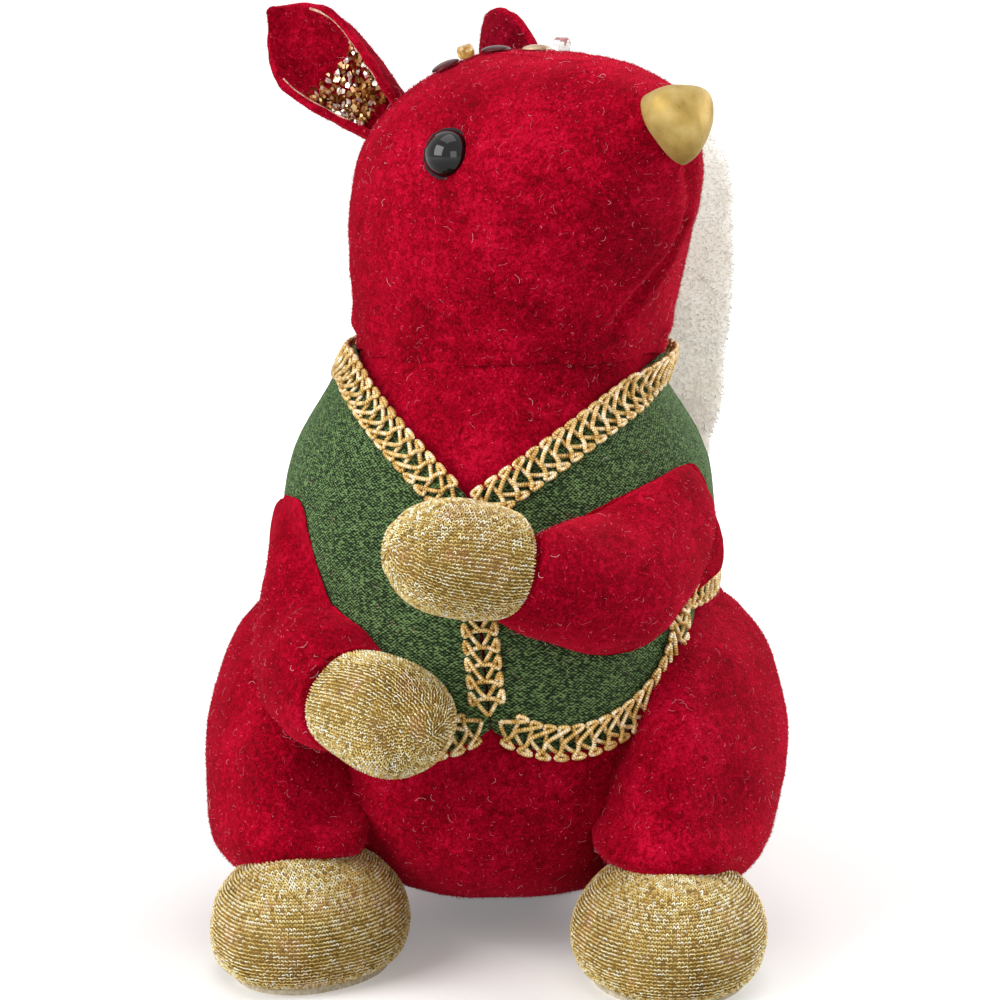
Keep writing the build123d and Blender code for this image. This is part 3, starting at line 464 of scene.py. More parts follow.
def gridMesh(name, rings):
    rows, cols, _ = rings.shape
    faces = gridFaces(rows, cols).tolist()
    faces.append(list(range(cols))[::-1])
    faces.append([(rows - 1) * cols + j for j in range(cols)])
    mesh = bpy.data.meshes.new(name)
    mesh.from_pydata((rings.reshape(-1, 3) * mm).tolist(), [], faces)
    mesh.shade_smooth()
    return mesh


def formTree(rings):
    rows, cols, _ = rings.shape
    faces = gridFaces(rows, cols).tolist() + [list(range(cols))[::-1], [(rows - 1) * cols + j for j in range(cols)]]
    return BVHTree.FromPolygons(rings.reshape(-1, 3).tolist(), faces)


def nodeTree(*names):  # CAD nodes as one surface, in mm
    points, faces = [], []
    for name in names:
        mesh = frame["nodes"][name].data
        first = len(points)
        points += [tuple(v.co / mm) for v in mesh.vertices]
        faces += [[first + i for i in p.vertices] for p in mesh.polygons]
    return BVHTree.FromPolygons(points, faces)


def ruffled(rings, size, height, seed):  # soft unevenness of stuffed cloth
    normals = gridNormals(rings)
    flat = rings.reshape(-1, 3)
    lift = [noise.noise(Vector(p) / size + Vector((seed, 0, 0))) for p in flat]
    return rings + normals * (np.array(lift) * height).reshape(rings.shape[:2] + (1,))


def creased(rings, path, width, depth, roll=0.0):  # a line that is pulled in, with a soft roll on both sides
    flat = rings.reshape(-1, 3)
    path = np.array(path, float)
    far = np.full(len(flat), 1e9)
    for a, b in zip(path[:-1], path[1:]):
        way = b - a
        share = np.clip((flat - a) @ way / (way @ way), 0, 1)
        far = np.minimum(far, np.linalg.norm(flat - a - share[:, None] * way, axis=1))
    lift = roll * np.exp(-((far - 2.2 * width) / (1.1 * width)) ** 2) - depth * np.exp(-((far / width) ** 2))
    return rings + gridNormals(rings) * lift.reshape(rings.shape[:2] + (1,))


def depthIn(tree, point):
    near, normal, _, _ = tree.find_nearest(Vector(point))
    return (near - Vector(point)).dot(normal)


def pressed(rings, tree, gap):  # points inside another piece come to rest on it
    flat = rings.reshape(-1, 3).copy()
    for i, p in enumerate(flat):
        point, normal, _, _ = tree.find_nearest(Vector(p))
        if (Vector(p) - point).dot(normal) < gap:
            flat[i] = point + normal * gap
    return flat.reshape(rings.shape)


def addPiece(name, mesh, material, body, nodes=()):
    obj = addObject(name, mesh)
    if material:
        mesh.materials.append(material)
    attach(obj, body)
    if nodes:
        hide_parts(*nodes)
    return obj


# Body: a pear of foam under velvet
bodySizes = {"seam": 128.0, "neck": 32.5, "halfWidth": 44.0, "belly": 50.0, "rump": 57.0, "lean": -3.0, "felt": 1.5, "rows": (
    (0.058, 0.64, 0.14, 1.00), (0.10, 0.75, 0.64, 1.00), (0.17, 0.87, 0.86, 0.99), (0.31, 0.97, 0.98, 0.95),
    (0.47, 1.00, 1.00, 0.88), (0.63, 1.00, 0.94, 0.81), (0.76, 1.00, 0.87, 0.74), (0.86, 0.90, 0.78, 0.67), (0.94, 0.76, 0.69, 0.60))}


def bodyRings(grow, rows=110, cols=220):
    z = bodySizes
    table = [(z["felt"], 0.45, -0.44, 0.95)] + [(z["seam"] * up, *row) for up, *row in z["rows"]]
    table.append((z["seam"], z["neck"] / z["halfWidth"], z["neck"] / z["belly"], z["neck"] / z["rump"]))
    rings = []
    for up, wide, front, back in spread(table, rows):
        low, high = -z["belly"] * front - grow, z["rump"] * back + grow
        shift = z["lean"] * min(1, (1 - up / z["seam"]) / 0.06)
        ring = ovalRing(z["halfWidth"] * wide + grow, (high - low) / 2, cols) + (shift, (low + high) / 2)
        rings.append(np.column_stack([ring, np.full(cols, up)]))
    return np.array(rings) + neckAxis


bodyTree = formTree(bodyRings(0.0))
vestTree = formTree(bodyRings(2.3))
trimTree = formTree(bodyRings(4.4))
rings = ruffled(ruffled(bodyRings(0.0), 21, 0.7, 3), 7, 0.25, 4)
body = addPiece("body", gridMesh("body", rings), velvet, "body", ["body_cover", "body_core"])

# Thighs: flat pads that lie against the body
thighSizes = {"half": (21.5, 42.0), "rise": 29.0, "side": 41.5, "forward": 7.0, "middle": 43.0, "lean": 0.35, "ankle": (37.0, 54.0, 27.5), "rows": (
    (0.0, 0.42), (0.07, 0.70), (0.2, 0.90), (0.5, 1.0), (0.78, 0.84), (0.93, 0.58), (1.0, 0.34))}


def padRings(place, axes, half, low, high, shape, lean=0.0, rows=70, cols=150):
    xWay, yWay, zWay = (np.array(a, float) for a in axes)
    rings = []
    for along, share in spread(shape, rows):
        ring = ovalRing(half[0] * share, half[1] * share, cols)
        middle = np.array(place) + zWay * (low + (high - low) * along) + yWay * lean * (high - low) * (along - 0.5)
        rings.append(middle + ring[:, :1] * xWay + ring[:, 1:] * yWay)
    return np.array(rings)


level = ((1, 0, 0), (0, 1, 0), (0, 0, 1))
thighTrees = {}
for side, sign in sides.items():
    z = thighSizes
    place = neckAxis + (bodySizes["lean"] + sign * z["side"], -z["forward"], z["middle"])
    rings = padRings(place, level, z["half"], -z["rise"], z["rise"], z["rows"], z["lean"], 90, 180)
    rings = domed(rings, 2.0, 3.0)
    ankle = rings - (neckAxis + (sign * z["ankle"][0], -z["ankle"][1], z["ankle"][2]))
    roll = np.exp(-((ankle[:, :, 2] / 4.5) ** 2) - (ankle[:, :, 0] / 18) ** 4) * (ankle[:, :, 1] < 26)
    short = np.maximum(ankle[:, :, 1] - (ankle[:, :, 0] / 7.5) ** 2, 0)
    rings = rings - (roll * short)[:, :, None] * np.array((0, 1.0, 0))
    thighTrees[side] = formTree(rings)
    rings = ruffled(ruffled(rings, 16, 0.9, 11 + sign), 5, 0.25, 15 + sign)
    addPiece(f"{side}_thigh", gridMesh(f"{side}_thigh", rings), velvet, "body", [f"{side}_thigh_cover", f"{side}_thigh_core"])
print("body and thighs done")

# Head: broad neck, round cheeks and a blunt snout
headSizes = {"height": 63.0, "halfWidth": 35.6, "back": 35.6, "muzzle": 58.0, "yaw": 40.0, "gap": 0.3, "rows": (
    (0.00, 0.913, 0.913, 0.560, 0.95), (0.16, 0.97, 0.97, 0.65, 0.80), (0.32, 1.00, 1.00, 0.74, 0.70), (0.49, 0.98, 0.99, 0.87, 0.58),
    (0.65, 0.91, 0.92, 0.975, 0.48), (0.78, 0.78, 0.76, 1.00, 0.45), (0.875, 0.61, 0.57, 0.955, 0.47), (0.94, 0.40, 0.34, 0.81, 0.55), (0.98, 0.20, 0.10, 0.62, 0.64))}
yaw = math.radians(headSizes["yaw"])
headWays = np.array([(math.sin(yaw), -math.cos(yaw), 0), (math.cos(yaw), math.sin(yaw), 0), (0, 0, 1)])
headBase = neckAxis + (0, 0, bodySizes["seam"] + headSizes["gap"])


def headPoint(forward, left, up):
    return headBase + np.array((forward, left, up)) @ headWays


def headRings(rows=120, cols=240):
    z = headSizes
    rings = []
    for up, wide, back, front, end in spread(z["rows"], rows):
        half = z["halfWidth"] * wide
        ring = eggRing(half, z["back"] * back, z["muzzle"] * front, half * min(end, 0.97), cols)
        rings.append(headBase + np.column_stack([ring, np.full(cols, z["height"] * up)]) @ headWays)
    return np.array(rings)


rings = domed(headRings(), 0.3, 0.7)
headTree = formTree(rings)


def onForm(tree, pixels):  # picture points laid on a form
    points = []
    for x, y in pixels:
        hit = tree.ray_cast(Vector(eyePoint), Vector(seenAt(x, y)))[0]
        if hit:
            points.append(np.array(hit))
    return points


rings = ruffled(ruffled(rings, 18, 0.8, 21), 6, 0.3, 22)
above = rings[:, :, 2] - headBase[2]
angle = np.arange(rings.shape[1]) * 2 * math.pi / rings.shape[1]
sag = np.array([noise.noise(Vector((4 * math.cos(a), 4 * math.sin(a), 5))) for a in angle])
rings = rings + gridNormals(rings) * ((0.9 + 0.9 * sag) * np.exp(-(((above - 3.6) / 2.6) ** 2)))[:, :, None] * (above < 20)[:, :, None]
outward = (rings - headBase) * (1, 1, 0)
reach = np.linalg.norm(outward, axis=2)
hem = np.clip(1 - above / 1.6, 0, 1) * (reach > 31.5)
rings = rings + (outward / np.maximum(reach, 1)[:, :, None] * 0.75 - (0, 0, 1.1)) * (hem * (1 + 0.8 * sag))[:, :, None]
chinSeam = onForm(headTree, [(688, 168), (690, 200), (683, 225), (667, 258), (642, 290), (614, 324)])
rings = creased(rings, chinSeam, 1.6, 1.1, 0.5)
addPiece("head", gridMesh("head", rings), velvet, "head", ["head_cover", "head_core"])
print("head done")

# Feet and hands: gold knit stretched over a pad
footSizes = {"half": (20.0, 28.5), "low": 1.5, "high": 25.0, "side": 38.0, "forward": 43.5, "splay": 7.0, "rows": (
    (0.0, 0.80), (0.1, 0.94), (0.35, 1.0), (0.62, 0.93), (0.82, 0.74), (0.94, 0.50), (1.0, 0.32))}
armSizes = {"radius": 14.0, "braid": (78.0, 16.0, 11.0), "behind": -24.0, "root": {"right": 0.84, "left": 0.74}, "paths": {
    "right": ((0.70, 0.06, 0.805, 0.80), (0.795, 0.26, 0.656, 0.93), (0.795, 0.56, 0.516, 1.00), (0.69, 0.86, 0.477, 1.00), (0.57, 1.04, 0.465, 0.81), (0.12, 1.41, 0.443, 0.0)),
    "left": ((0.75, -0.06, 0.78, 0.85), (0.745, 0.36, 0.725, 1.08), (0.64, 0.70, 0.655, 1.12), (0.48, 0.96, 0.662, 0.98), (0.216, 1.17, 0.703, 0.80), (-0.336, 1.464, 0.748, 0.0))}}
handSizes = {"half": (12.5, 11.7), "length": 24.8, "rows": ((0.0, 0.88), (0.2, 0.97), (0.5, 1.0), (0.75, 0.93), (0.92, 0.74), (1.0, 0.52))}
shoulders = {j["name"]: j for j in frame["joints"]}


def aimed(way):
    way = np.array(way) / np.linalg.norm(way)
    flat = np.cross((0, 0, 1), way)
    flat = flat / np.linalg.norm(flat)
    return flat, np.cross(way, flat), way


def armPoints(side):
    z = bodySizes
    return [neckAxis + (z["lean"] + sides[side] * z["halfWidth"] * a, -z["belly"] * b, z["seam"] * c) for a, b, c, _ in armSizes["paths"][side]]


def armRings(side, rows=90, cols=110):
    table = [(*p, armSizes["radius"] * r[3]) for p, r in zip(armPoints(side), armSizes["paths"][side])][:-1]
    fine = spread(table, rows)
    ways = np.gradient(fine[:, :3], axis=0)
    angle = np.arange(cols) * 2 * math.pi / cols
    rings = []
    for (x, y, z, radius), way in zip(fine, ways):
        a, b, _ = aimed(way)
        rings.append(np.array((x, y, z)) + radius * (np.cos(angle)[:, None] * a + np.sin(angle)[:, None] * b))
    return np.array(rings)


def cutAt(rings, start, end):  # pushes down what stands above a line in the picture
    across = np.cross(seenAt(*end), seenAt(*start))
    across = across / np.linalg.norm(across) * np.sign(across[2])
    over = (rings - eyePoint) @ across
    return rings - across * np.log1p(np.exp(np.minimum(over / 0.6, 60)))[:, :, None] * 0.6


def swungClear(rings, side, gap):  # rests on the vest and the braid at every angle of the shoulder
    joint = shoulders[f"{side}_shoulder"]
    pivot, axis = np.array(joint["pos_m"]) / mm, Vector(joint["axis"])
    for angle in (0, 6, 12):
        spin = np.array(Matrix.Rotation(math.radians(angle), 3, axis))
        there = (rings - pivot) @ spin.T + pivot
        level, reach, ease = armSizes["braid"]
        near = np.clip((reach - abs(there[:, :, 2:] - level)) / ease, 0, 1)
        behind = np.clip((there[:, :, 1:2] - armSizes["behind"]) / ease, 0, 1)
        bare = pressed(there, vestTree, gap)
        there = bare + (pressed(there, trimTree, gap) - bare) * near * behind
        rings = (there - pivot) @ spin + pivot
    return rings


knits = {}
for side, sign in sides.items():
    z = footSizes
    splay = math.radians(sign * z["splay"])
    axes = ((math.cos(splay), math.sin(splay), 0), (-math.sin(splay), math.cos(splay), 0), (0, 0, 1))
    rings = padRings(neckAxis + (sign * z["side"], -z["forward"], 0), axes, z["half"], z["low"], z["high"], z["rows"], 0.0, 80, 170)
    knits[f"{side}_foot"] = ("body", ruffled(domed(rings, 0.0, 1.0), 12, 0.6, 31 + sign))

    wrist, tip = armPoints(side)[-2:]
    rings = padRings(wrist, aimed(tip - wrist), handSizes["half"], 0.3, handSizes["length"], handSizes["rows"], 0.0, 80, 130)
    rings = pressed(domed(rings, 0.0, 2.4), trimTree, 0.3)
    knits[f"{side}_hand"] = (f"{side}_arm", ruffled(rings, 10, 0.5, 41 + sign))

    rings = armRings(side)
    buried = [sum(depthIn(vestTree, p) > 0 for p in ring) / len(ring) for ring in rings]
    rings = domed(rings[next(i for i, share in enumerate(buried) if share < armSizes["root"][side]):], 5.0, 1.0)
    if side == "left":
        rings = cutAt(rings, (570, 520), (692, 460))
    rings = swungClear(rings, side, 0.4)
    rings = ruffled(ruffled(rings, 12, 0.8, 51 + sign), 4, 0.25, 55 + sign)
    addPiece(f"{side}_arm_sleeve", gridMesh(f"{side}_arm_sleeve", rings), velvet, f"{side}_arm", [f"{side}_arm_cover", f"{side}_arm_core"])
for name, (bodyName, rings) in knits.items():
    # the pads take the darkened backing: painted shade between the stitches
    addPiece(name, gridMesh(name, rings), shadedLurexBacking, bodyName, [f"{name}_cover", f"{name}_core"])
print("limbs done")

# Tail
tailSizes = {"height": 178.0, "half": (36.0, 18.0), "lean": 9.0, "gap": 0.8, "rows": (
    (0.02, 0.42, 0.60, 1.00, 0.0), (0.14, 0.60, 0.82, 1.01, 0.05), (0.31, 0.74, 0.94, 0.98, 0.2), (0.50, 0.90, 1.00, 0.87, 0.45),
    (0.68, 0.99, 0.97, 0.72, 0.7), (0.84, 0.97, 0.92, 0.72, 0.9), (0.94, 0.80, 0.75, 0.78, 1.0), (1.00, 0.40, 0.45, 0.86, 1.0))}
rings = []
for up, wide, deep, front, lean in spread(tailSizes["rows"], 110):
    half = (tailSizes["half"][0] * wide, tailSizes["half"][1] * deep)
    ring = ovalRing(*half, 160) + (tailSizes["lean"] * lean, bodySizes["rump"] * front + tailSizes["gap"] + half[1])
    rings.append(np.column_stack([ring, np.full(160, tailSizes["height"] * up)]))
rings = domed(np.array(rings) + neckAxis, 1.5, 1.5)
rings = ruffled(ruffled(rings, 14, 1.2, 61), 4, 0.5, 62)
addPiece("tail", gridMesh("tail", rings), plush, "body", ["tail_cover", "tail_core"])
print("tail done")

# Trees of nodes: what repeats, or follows a path or a surface
def startTree(name, inputs):
    tree = bpy.data.node_groups.new(name, "GeometryNodeTree")
    tree.interface.new_socket("Geometry", in_out="INPUT", socket_type="NodeSocketGeometry")
    for label, kind in inputs.items():
        tree.interface.new_socket(label, in_out="INPUT", socket_type=kind)
    tree.interface.new_socket("Geometry", in_out="OUTPUT", socket_type="NodeSocketGeometry")
    return tree, addNode(tree, "NodeGroupInput").outputs


def grown(name, tree, base, values):  # what the tree makes of a base object, as a plain mesh
    mod = base.modifiers.new("nodes", "NODES")
    mod.node_group = tree
    for item in tree.interface.items_tree:
        if item.in_out == "INPUT" and item.name in values:
            mod[item.identifier] = values[item.name]
    graph = bpy.context.evaluated_depsgraph_get()
    mesh = bpy.data.meshes.new_from_object(base.evaluated_get(graph), preserve_all_data_layers=True, depsgraph=graph)
    mesh.name = name
    base.modifiers.remove(mod)
    return mesh


def pointObject(points, edges, **attributes):  # points in mm with vectors of their own
    mesh = bpy.data.meshes.new("points")
    mesh.from_pydata((np.array(points) * mm).tolist(), edges, [])
    for label, values in attributes.items():
        layer = mesh.attributes.new(label, "FLOAT_VECTOR", "POINT")
        layer.data.foreach_set("vector", np.array(values, dtype=np.float32).ravel())
    return addObject("points", mesh)


# Looped gimp: two cords swing from edge to edge, turn in a small eye and cross in the middle
gimpTree, given = startTree("loopedGimp", {
    "Pitch": "NodeSocketFloat", "Half width": "NodeSocketFloat", "Eye": "NodeSocketFloat", "Legs": "NodeSocketFloat", "Chevron": "NodeSocketFloat", "Cord radius": "NodeSocketFloat",
    "Height": "NodeSocketFloat", "Weave": "NodeSocketFloat", "Step": "NodeSocketFloat", "Material": "NodeSocketMaterial"})
path = addNode(gimpTree, "GeometryNodeMeshToCurve", {"Mesh": given["Geometry"]}).outputs[0]
lift = addNode(gimpTree, "GeometryNodeInputNamedAttribute", {"Name": "lift"}, data_type="FLOAT_VECTOR")
whole = addNode(gimpTree, "GeometryNodeCurveLength", {"Curve": path}).outputs[0]
count = addNode(gimpTree, "ShaderNodeMath", {0: whole, 1: given["Step"]}, operation="DIVIDE").outputs[0]
profile = addNode(gimpTree, "GeometryNodeCurvePrimitiveCircle", {"Resolution": 6, "Radius": given["Cord radius"]}).outputs[0]
around = addNode(gimpTree, "GeometryNodeSplineParameter").outputs["Factor"]
profile = addNode(gimpTree, "GeometryNodeStoreNamedAttribute", {"Geometry": profile, "Name": "cordTurn", "Value": around}).outputs[0]
cords = []
for phase in (0.0, math.pi):
    line = addNode(gimpTree, "GeometryNodeMeshLine", {"Count": count, "Offset": (0, 0, 0)}).outputs[0]
    index = addNode(gimpTree, "GeometryNodeInputIndex").outputs[0]
    far = addNode(gimpTree, "ShaderNodeMath", {0: index, 1: given["Step"]}, operation="MULTIPLY").outputs[0]
    turns = addNode(gimpTree, "ShaderNodeMath", {0: far, 1: given["Pitch"]}, operation="DIVIDE").outputs[0]
    angle = addNode(gimpTree, "ShaderNodeMath", {0: turns, 1: 2 * math.pi, 2: phase}, operation="MULTIPLY_ADD").outputs[0]
    double = addNode(gimpTree, "ShaderNodeMath", {0: angle, 1: 2.0}, operation="MULTIPLY").outputs[0]
    back = addNode(gimpTree, "ShaderNodeMath", {0: double}, operation="SINE").outputs[0]
    swing = addNode(gimpTree, "ShaderNodeMath", {0: angle}, operation="SINE").outputs[0]
    out = addNode(gimpTree, "ShaderNodeMath", {0: swing}, operation="ABSOLUTE").outputs[0]
    edge = addNode(gimpTree, "ShaderNodeMath", {0: out, 1: 3.0}, operation="POWER").outputs[0]
    wide = addNode(gimpTree, "ShaderNodeMath", {0: edge, 1: given["Eye"], 2: given["Legs"]}, operation="MULTIPLY_ADD").outputs[0]
    along = addNode(gimpTree, "ShaderNodeMath", {0: back, 1: wide, 2: far}, operation="MULTIPLY_ADD").outputs[0]
    along = addNode(gimpTree, "ShaderNodeMath", {0: out, 1: given["Chevron"], 2: along}, operation="MULTIPLY_ADD").outputs[0]
    sideways = addNode(gimpTree, "ShaderNodeMath", {0: swing, 1: given["Half width"]}, operation="MULTIPLY").outputs[0]
    over = addNode(gimpTree, "ShaderNodeMath", {0: angle}, operation="COSINE").outputs[0]
    height = addNode(gimpTree, "ShaderNodeMath", {0: over, 1: given["Weave"], 2: given["Height"]}, operation="MULTIPLY_ADD").outputs[0]
    spot = addNode(gimpTree, "GeometryNodeSampleCurve", {"Curves": path, "Value": result(lift), "Length": along}, mode="LENGTH", data_type="FLOAT_VECTOR", use_all_curves=True)
    up = addNode(gimpTree, "ShaderNodeVectorMath", {0: result(spot, "Value")}, operation="NORMALIZE").outputs[0]
    flank = addNode(gimpTree, "ShaderNodeVectorMath", {0: up, 1: spot.outputs["Tangent"]}, operation="CROSS_PRODUCT").outputs[0]
    moved = addNode(gimpTree, "ShaderNodeVectorMath", {0: flank, "Scale": sideways}, operation="SCALE").outputs[0]
    raised = addNode(gimpTree, "ShaderNodeVectorMath", {0: up, "Scale": height}, operation="SCALE").outputs[0]
    place = addNode(gimpTree, "ShaderNodeVectorMath", {0: spot.outputs["Position"], 1: moved}, operation="ADD").outputs[0]
    place = addNode(gimpTree, "ShaderNodeVectorMath", {0: place, 1: raised}, operation="ADD").outputs[0]
    laid = addNode(gimpTree, "GeometryNodeSetPosition", {"Geometry": line, "Position": place}).outputs[0]
    cord = addNode(gimpTree, "GeometryNodeMeshToCurve", {"Mesh": laid}).outputs[0]
    length = addNode(gimpTree, "GeometryNodeSplineParameter").outputs["Length"]
    cord = addNode(gimpTree, "GeometryNodeStoreNamedAttribute", {"Geometry": cord, "Name": "cordLength", "Value": length}).outputs[0]
    cords.append(addNode(gimpTree, "GeometryNodeCurveToMesh", {"Curve": cord, "Profile Curve": profile, "Fill Caps": True}).outputs[0])
joined = addNode(gimpTree, "GeometryNodeJoinGeometry")
for cord in cords:
    gimpTree.links.new(cord, joined.inputs[0])
smooth = addNode(gimpTree, "GeometryNodeSetShadeSmooth", {"Geometry": joined.outputs[0]}).outputs[0]
real = addNode(gimpTree, "GeometryNodeRealizeInstances", {"Geometry": smooth}).outputs[0]
done = addNode(gimpTree, "GeometryNodeSetMaterial", {"Geometry": real, "Material": given["Material"]}).outputs[0]
addNode(gimpTree, "NodeGroupOutput", {"Geometry": done})

# Vest: two fronts and a back of knitted velvet, edged with gimp
vestSizes = {"closingTop": (-4.0, 101.0), "closingHem": (1.5, 54.0), "necklineTop": 126.5, "neckEnd": 32.5, "hemLow": (20.0, 48.0),
             "hemEnd": (43.0, 75.0), "braidInset": 2.8, "voxel": 0.6}


def evenCopy(node, voxel):  # a merged copy of a CAD node as an even mesh
    copy = addObject("copy", frame["nodes"][node].data.copy())
    weld = copy.modifiers.new("weld", "WELD")
    weld.merge_threshold = 0.01 * mm
    even = copy.modifiers.new("even", "REMESH")
    even.mode = "VOXEL"
    even.voxel_size = voxel * mm
    soft = copy.modifiers.new("soft", "SMOOTH")
    soft.factor, soft.iterations = 0.5, 6
    graph = bpy.context.evaluated_depsgraph_get()
    mesh = bpy.data.meshes.new_from_object(copy.evaluated_get(graph), depsgraph=graph)
    bpy.data.objects.remove(copy)
    mesh.materials.clear()
    mesh.shade_smooth()
    return mesh


def meshPoints(mesh):
    flat = np.empty(len(mesh.vertices) * 3, dtype=np.float32)
    mesh.vertices.foreach_get("co", flat)
    return flat.reshape(-1, 3) / mm


def wrapped(mesh, facing):  # lays the cloth's own map round the body, in metres
    points = meshPoints(mesh) - neckAxis
    angle = np.arctan2(points[:, 0], facing * points[:, 1])
    flat = np.stack([angle * 45 * mm, points[:, 2] * mm], 1)
    loops = np.empty(len(mesh.loops), dtype=np.int32)
    mesh.loops.foreach_get("vertex_index", loops)
    mesh.uv_layers.new(name="cloth").data.foreach_set("uv", flat[loops].astype(np.float32).ravel())


for node, facing in {"vest_right_front": -1, "vest_left_front": -1, "vest_back": 1}.items():
    mesh = evenCopy(node, vestSizes["voxel"])
    points = meshPoints(mesh)
    flat = np.empty(len(mesh.vertices) * 3, dtype=np.float32)
    mesh.vertex_normals.foreach_get("vector", flat)
    waves = np.array([0.35 * noise.noise(Vector(p) / 13) + 0.15 * noise.noise(Vector(p) / 4) for p in points])
    points = points + flat.reshape(-1, 3) * waves[:, None]
    mesh.vertices.foreach_set("co", (points * mm).astype(np.float32).ravel())
    wrapped(mesh, facing)
    addPiece(node + "_cloth", mesh, vestCloth, "body", [node])


def onVest(start, way):
    point, normal, _, _ = vestTree.ray_cast(Vector(start), Vector(way))
    return np.array(point), np.array(normal)


def roundVest(angle, height):  # looking in at the vest from all round, 0 is the front
    way = np.array((math.sin(angle), -math.cos(angle), 0))
    return onVest(neckAxis + way * 200 + (0, 0, height), -way)


def frontOfVest(x, z):
    return onVest(neckAxis + (x, -200, z), (0, 1, 0))


def necklinePath(side):
    sign, z = sides[side], vestSizes
    low, high = np.array(z["closingTop"]), np.array((sign * z["neckEnd"], z["necklineTop"]))
    along = (high - low) / np.linalg.norm(high - low)
    low = low + np.array((sign * along[1], -sign * along[0])) * z["braidInset"]
    top = z["necklineTop"] - z["braidInset"]
    path, height = [], low[1]
    for angle in np.linspace(math.atan2(low[0] - along[0] * sign, 43.0), sign * math.radians(94), 60):
        for _ in range(8):
            point, normal = roundVest(angle, height)
            height = min(low[1] + (point[0] - neckAxis[0] - low[0]) * along[1] / along[0], top)
        path.append((point, normal))
    return path


def hemPath(side):
    sign, z = sides[side], vestSizes
    lean = bodySizes["lean"]
    corners = np.array([(sign * z["hemEnd"][0] + lean, z["hemEnd"][1]), (sign * z["hemLow"][0] + lean, z["hemLow"][1]), z["closingHem"]])
    rows = np.column_stack([2 * corners, np.ones(3)])
    cx, cz, rest = np.linalg.solve(rows, (corners**2).sum(1))
    radius = math.sqrt(rest + cx**2 + cz**2) - z["braidInset"]
    end, notch = (math.atan2(c[1] - cz, c[0] - cx) for c in (corners[0], corners[2]))
    end, notch = end % (2 * math.pi), notch % (2 * math.pi)
    if sign > 0 and end < math.pi:
        end += 2 * math.pi
    path = [frontOfVest(cx + radius * math.cos(a), cz + radius * math.sin(a)) for a in np.linspace(notch, end, 50)]
    last = path[-1][0] - neckAxis
    first = math.atan2(last[0], -last[1])
    level = z["hemEnd"][1] + z["braidInset"]
    return path + [roundVest(a, level) for a in np.linspace(first + sign * 0.06, sign * math.radians(94), 10)]


def closingPath():
    (topX, topZ), (hemX, hemZ) = vestSizes["closingTop"], vestSizes["closingHem"]
    shares = np.linspace(0.93, 0.1, 40)
    return [frontOfVest(topX + (hemX - topX) * t, topZ + (hemZ - topZ) * t) for t in shares]


def backPath(height):
    return [roundVest(a, height) for a in np.radians(np.linspace(92, 268, 90))]


half = vestSizes["braidInset"]
braidPaths = {"front_braid": closingPath(), "neckline_braid_back": backPath(vestSizes["necklineTop"] - half), "hem_braid_back": backPath(vestSizes["hemEnd"][1] + half)}
for side in sides:
    braidPaths[f"neckline_braid_{side}"] = necklinePath(side)
    braidPaths[f"hem_braid_{side}"] = hemPath(side)
gimpSizes = {"Pitch": 7.0 * mm, "Half width": 3.5 * mm, "Eye": 2.3 * mm, "Legs": 0.5 * mm, "Chevron": 2.2 * mm, "Cord radius": 0.5 * mm, "Height": 0.95 * mm, "Weave": 0.35 * mm, "Step": 0.18 * mm, "Material": gimpGold}
for name, path in braidPaths.items():
    points, lifts = np.array([p for p, _ in path]), np.array([n for _, n in path])
    far = np.concatenate([[0], np.cumsum(np.linalg.norm(np.diff(points, axis=0), axis=1))])
    want = np.linspace(0, far[-1], int(far[-1]))
    points, lifts = (np.stack([np.interp(want, far, v[:, k]) for k in range(3)], 1) for v in (points, lifts))
    base = pointObject(points, [(i, i + 1) for i in range(len(points) - 1)], lift=lifts)
    addPiece(name + "_gimp", grown(name + "_gimp", gimpTree, base, gimpSizes), None, "body", [name])
    bpy.data.objects.remove(base)
print("vest and braid done")

# Knit: an arch of yarn for every stitch, in rows round the feet and along the hands
knitTree, given = startTree("lurexStitches", {"Yarn radius": "NodeSocketFloat", "Seed": "NodeSocketInt", "Material": "NodeSocketMaterial"})
profile = addNode(knitTree, "GeometryNodeCurvePrimitiveCircle", {"Resolution": 3, "Radius": given["Yarn radius"]}).outputs[0]
arch = {"Start": (-0.33 * mm, -0.16 * mm, -0.12 * mm), "Middle": (0.0, 0.42 * mm, 0.75 * mm), "End": (0.33 * mm, -0.16 * mm, -0.12 * mm)}
stitch = addNode(knitTree, "GeometryNodeCurveQuadraticBezier", {"Resolution": 2, **arch}).outputs[0]
stitch = addNode(knitTree, "GeometryNodeCurveToMesh", {"Curve": stitch, "Profile Curve": profile}).outputs[0]
vectors = {label: result(addNode(knitTree, "GeometryNodeInputNamedAttribute", {"Name": label}, data_type="FLOAT_VECTOR")) for label in ("out", "wale", "stretch")}
facing = addNode(knitTree, "FunctionNodeAxesToRotation", {"Primary Axis": vectors["out"], "Secondary Axis": vectors["wale"]}, primary_axis="Z", secondary_axis="Y").outputs[0]
wobble = result(addNode(knitTree, "FunctionNodeRandomValue", {"Min": (-0.45, -0.45, -0.5), "Max": (0.45, 0.45, 0.5), "Seed": given["Seed"]}, data_type="FLOAT_VECTOR"))
wobble = addNode(knitTree, "FunctionNodeEulerToRotation", {"Euler": wobble}).outputs[0]
facing = addNode(knitTree, "FunctionNodeRotateRotation", {"Rotation": facing, "Rotate By": wobble}, rotation_space="LOCAL").outputs[0]
placed = addNode(knitTree, "GeometryNodeInstanceOnPoints", {"Points": given["Geometry"], "Instance": stitch, "Rotation": facing, "Scale": vectors["stretch"]}).outputs[0]
real = addNode(knitTree, "GeometryNodeRealizeInstances", {"Geometry": placed}).outputs[0]
smooth = addNode(knitTree, "GeometryNodeSetShadeSmooth", {"Geometry": real}).outputs[0]
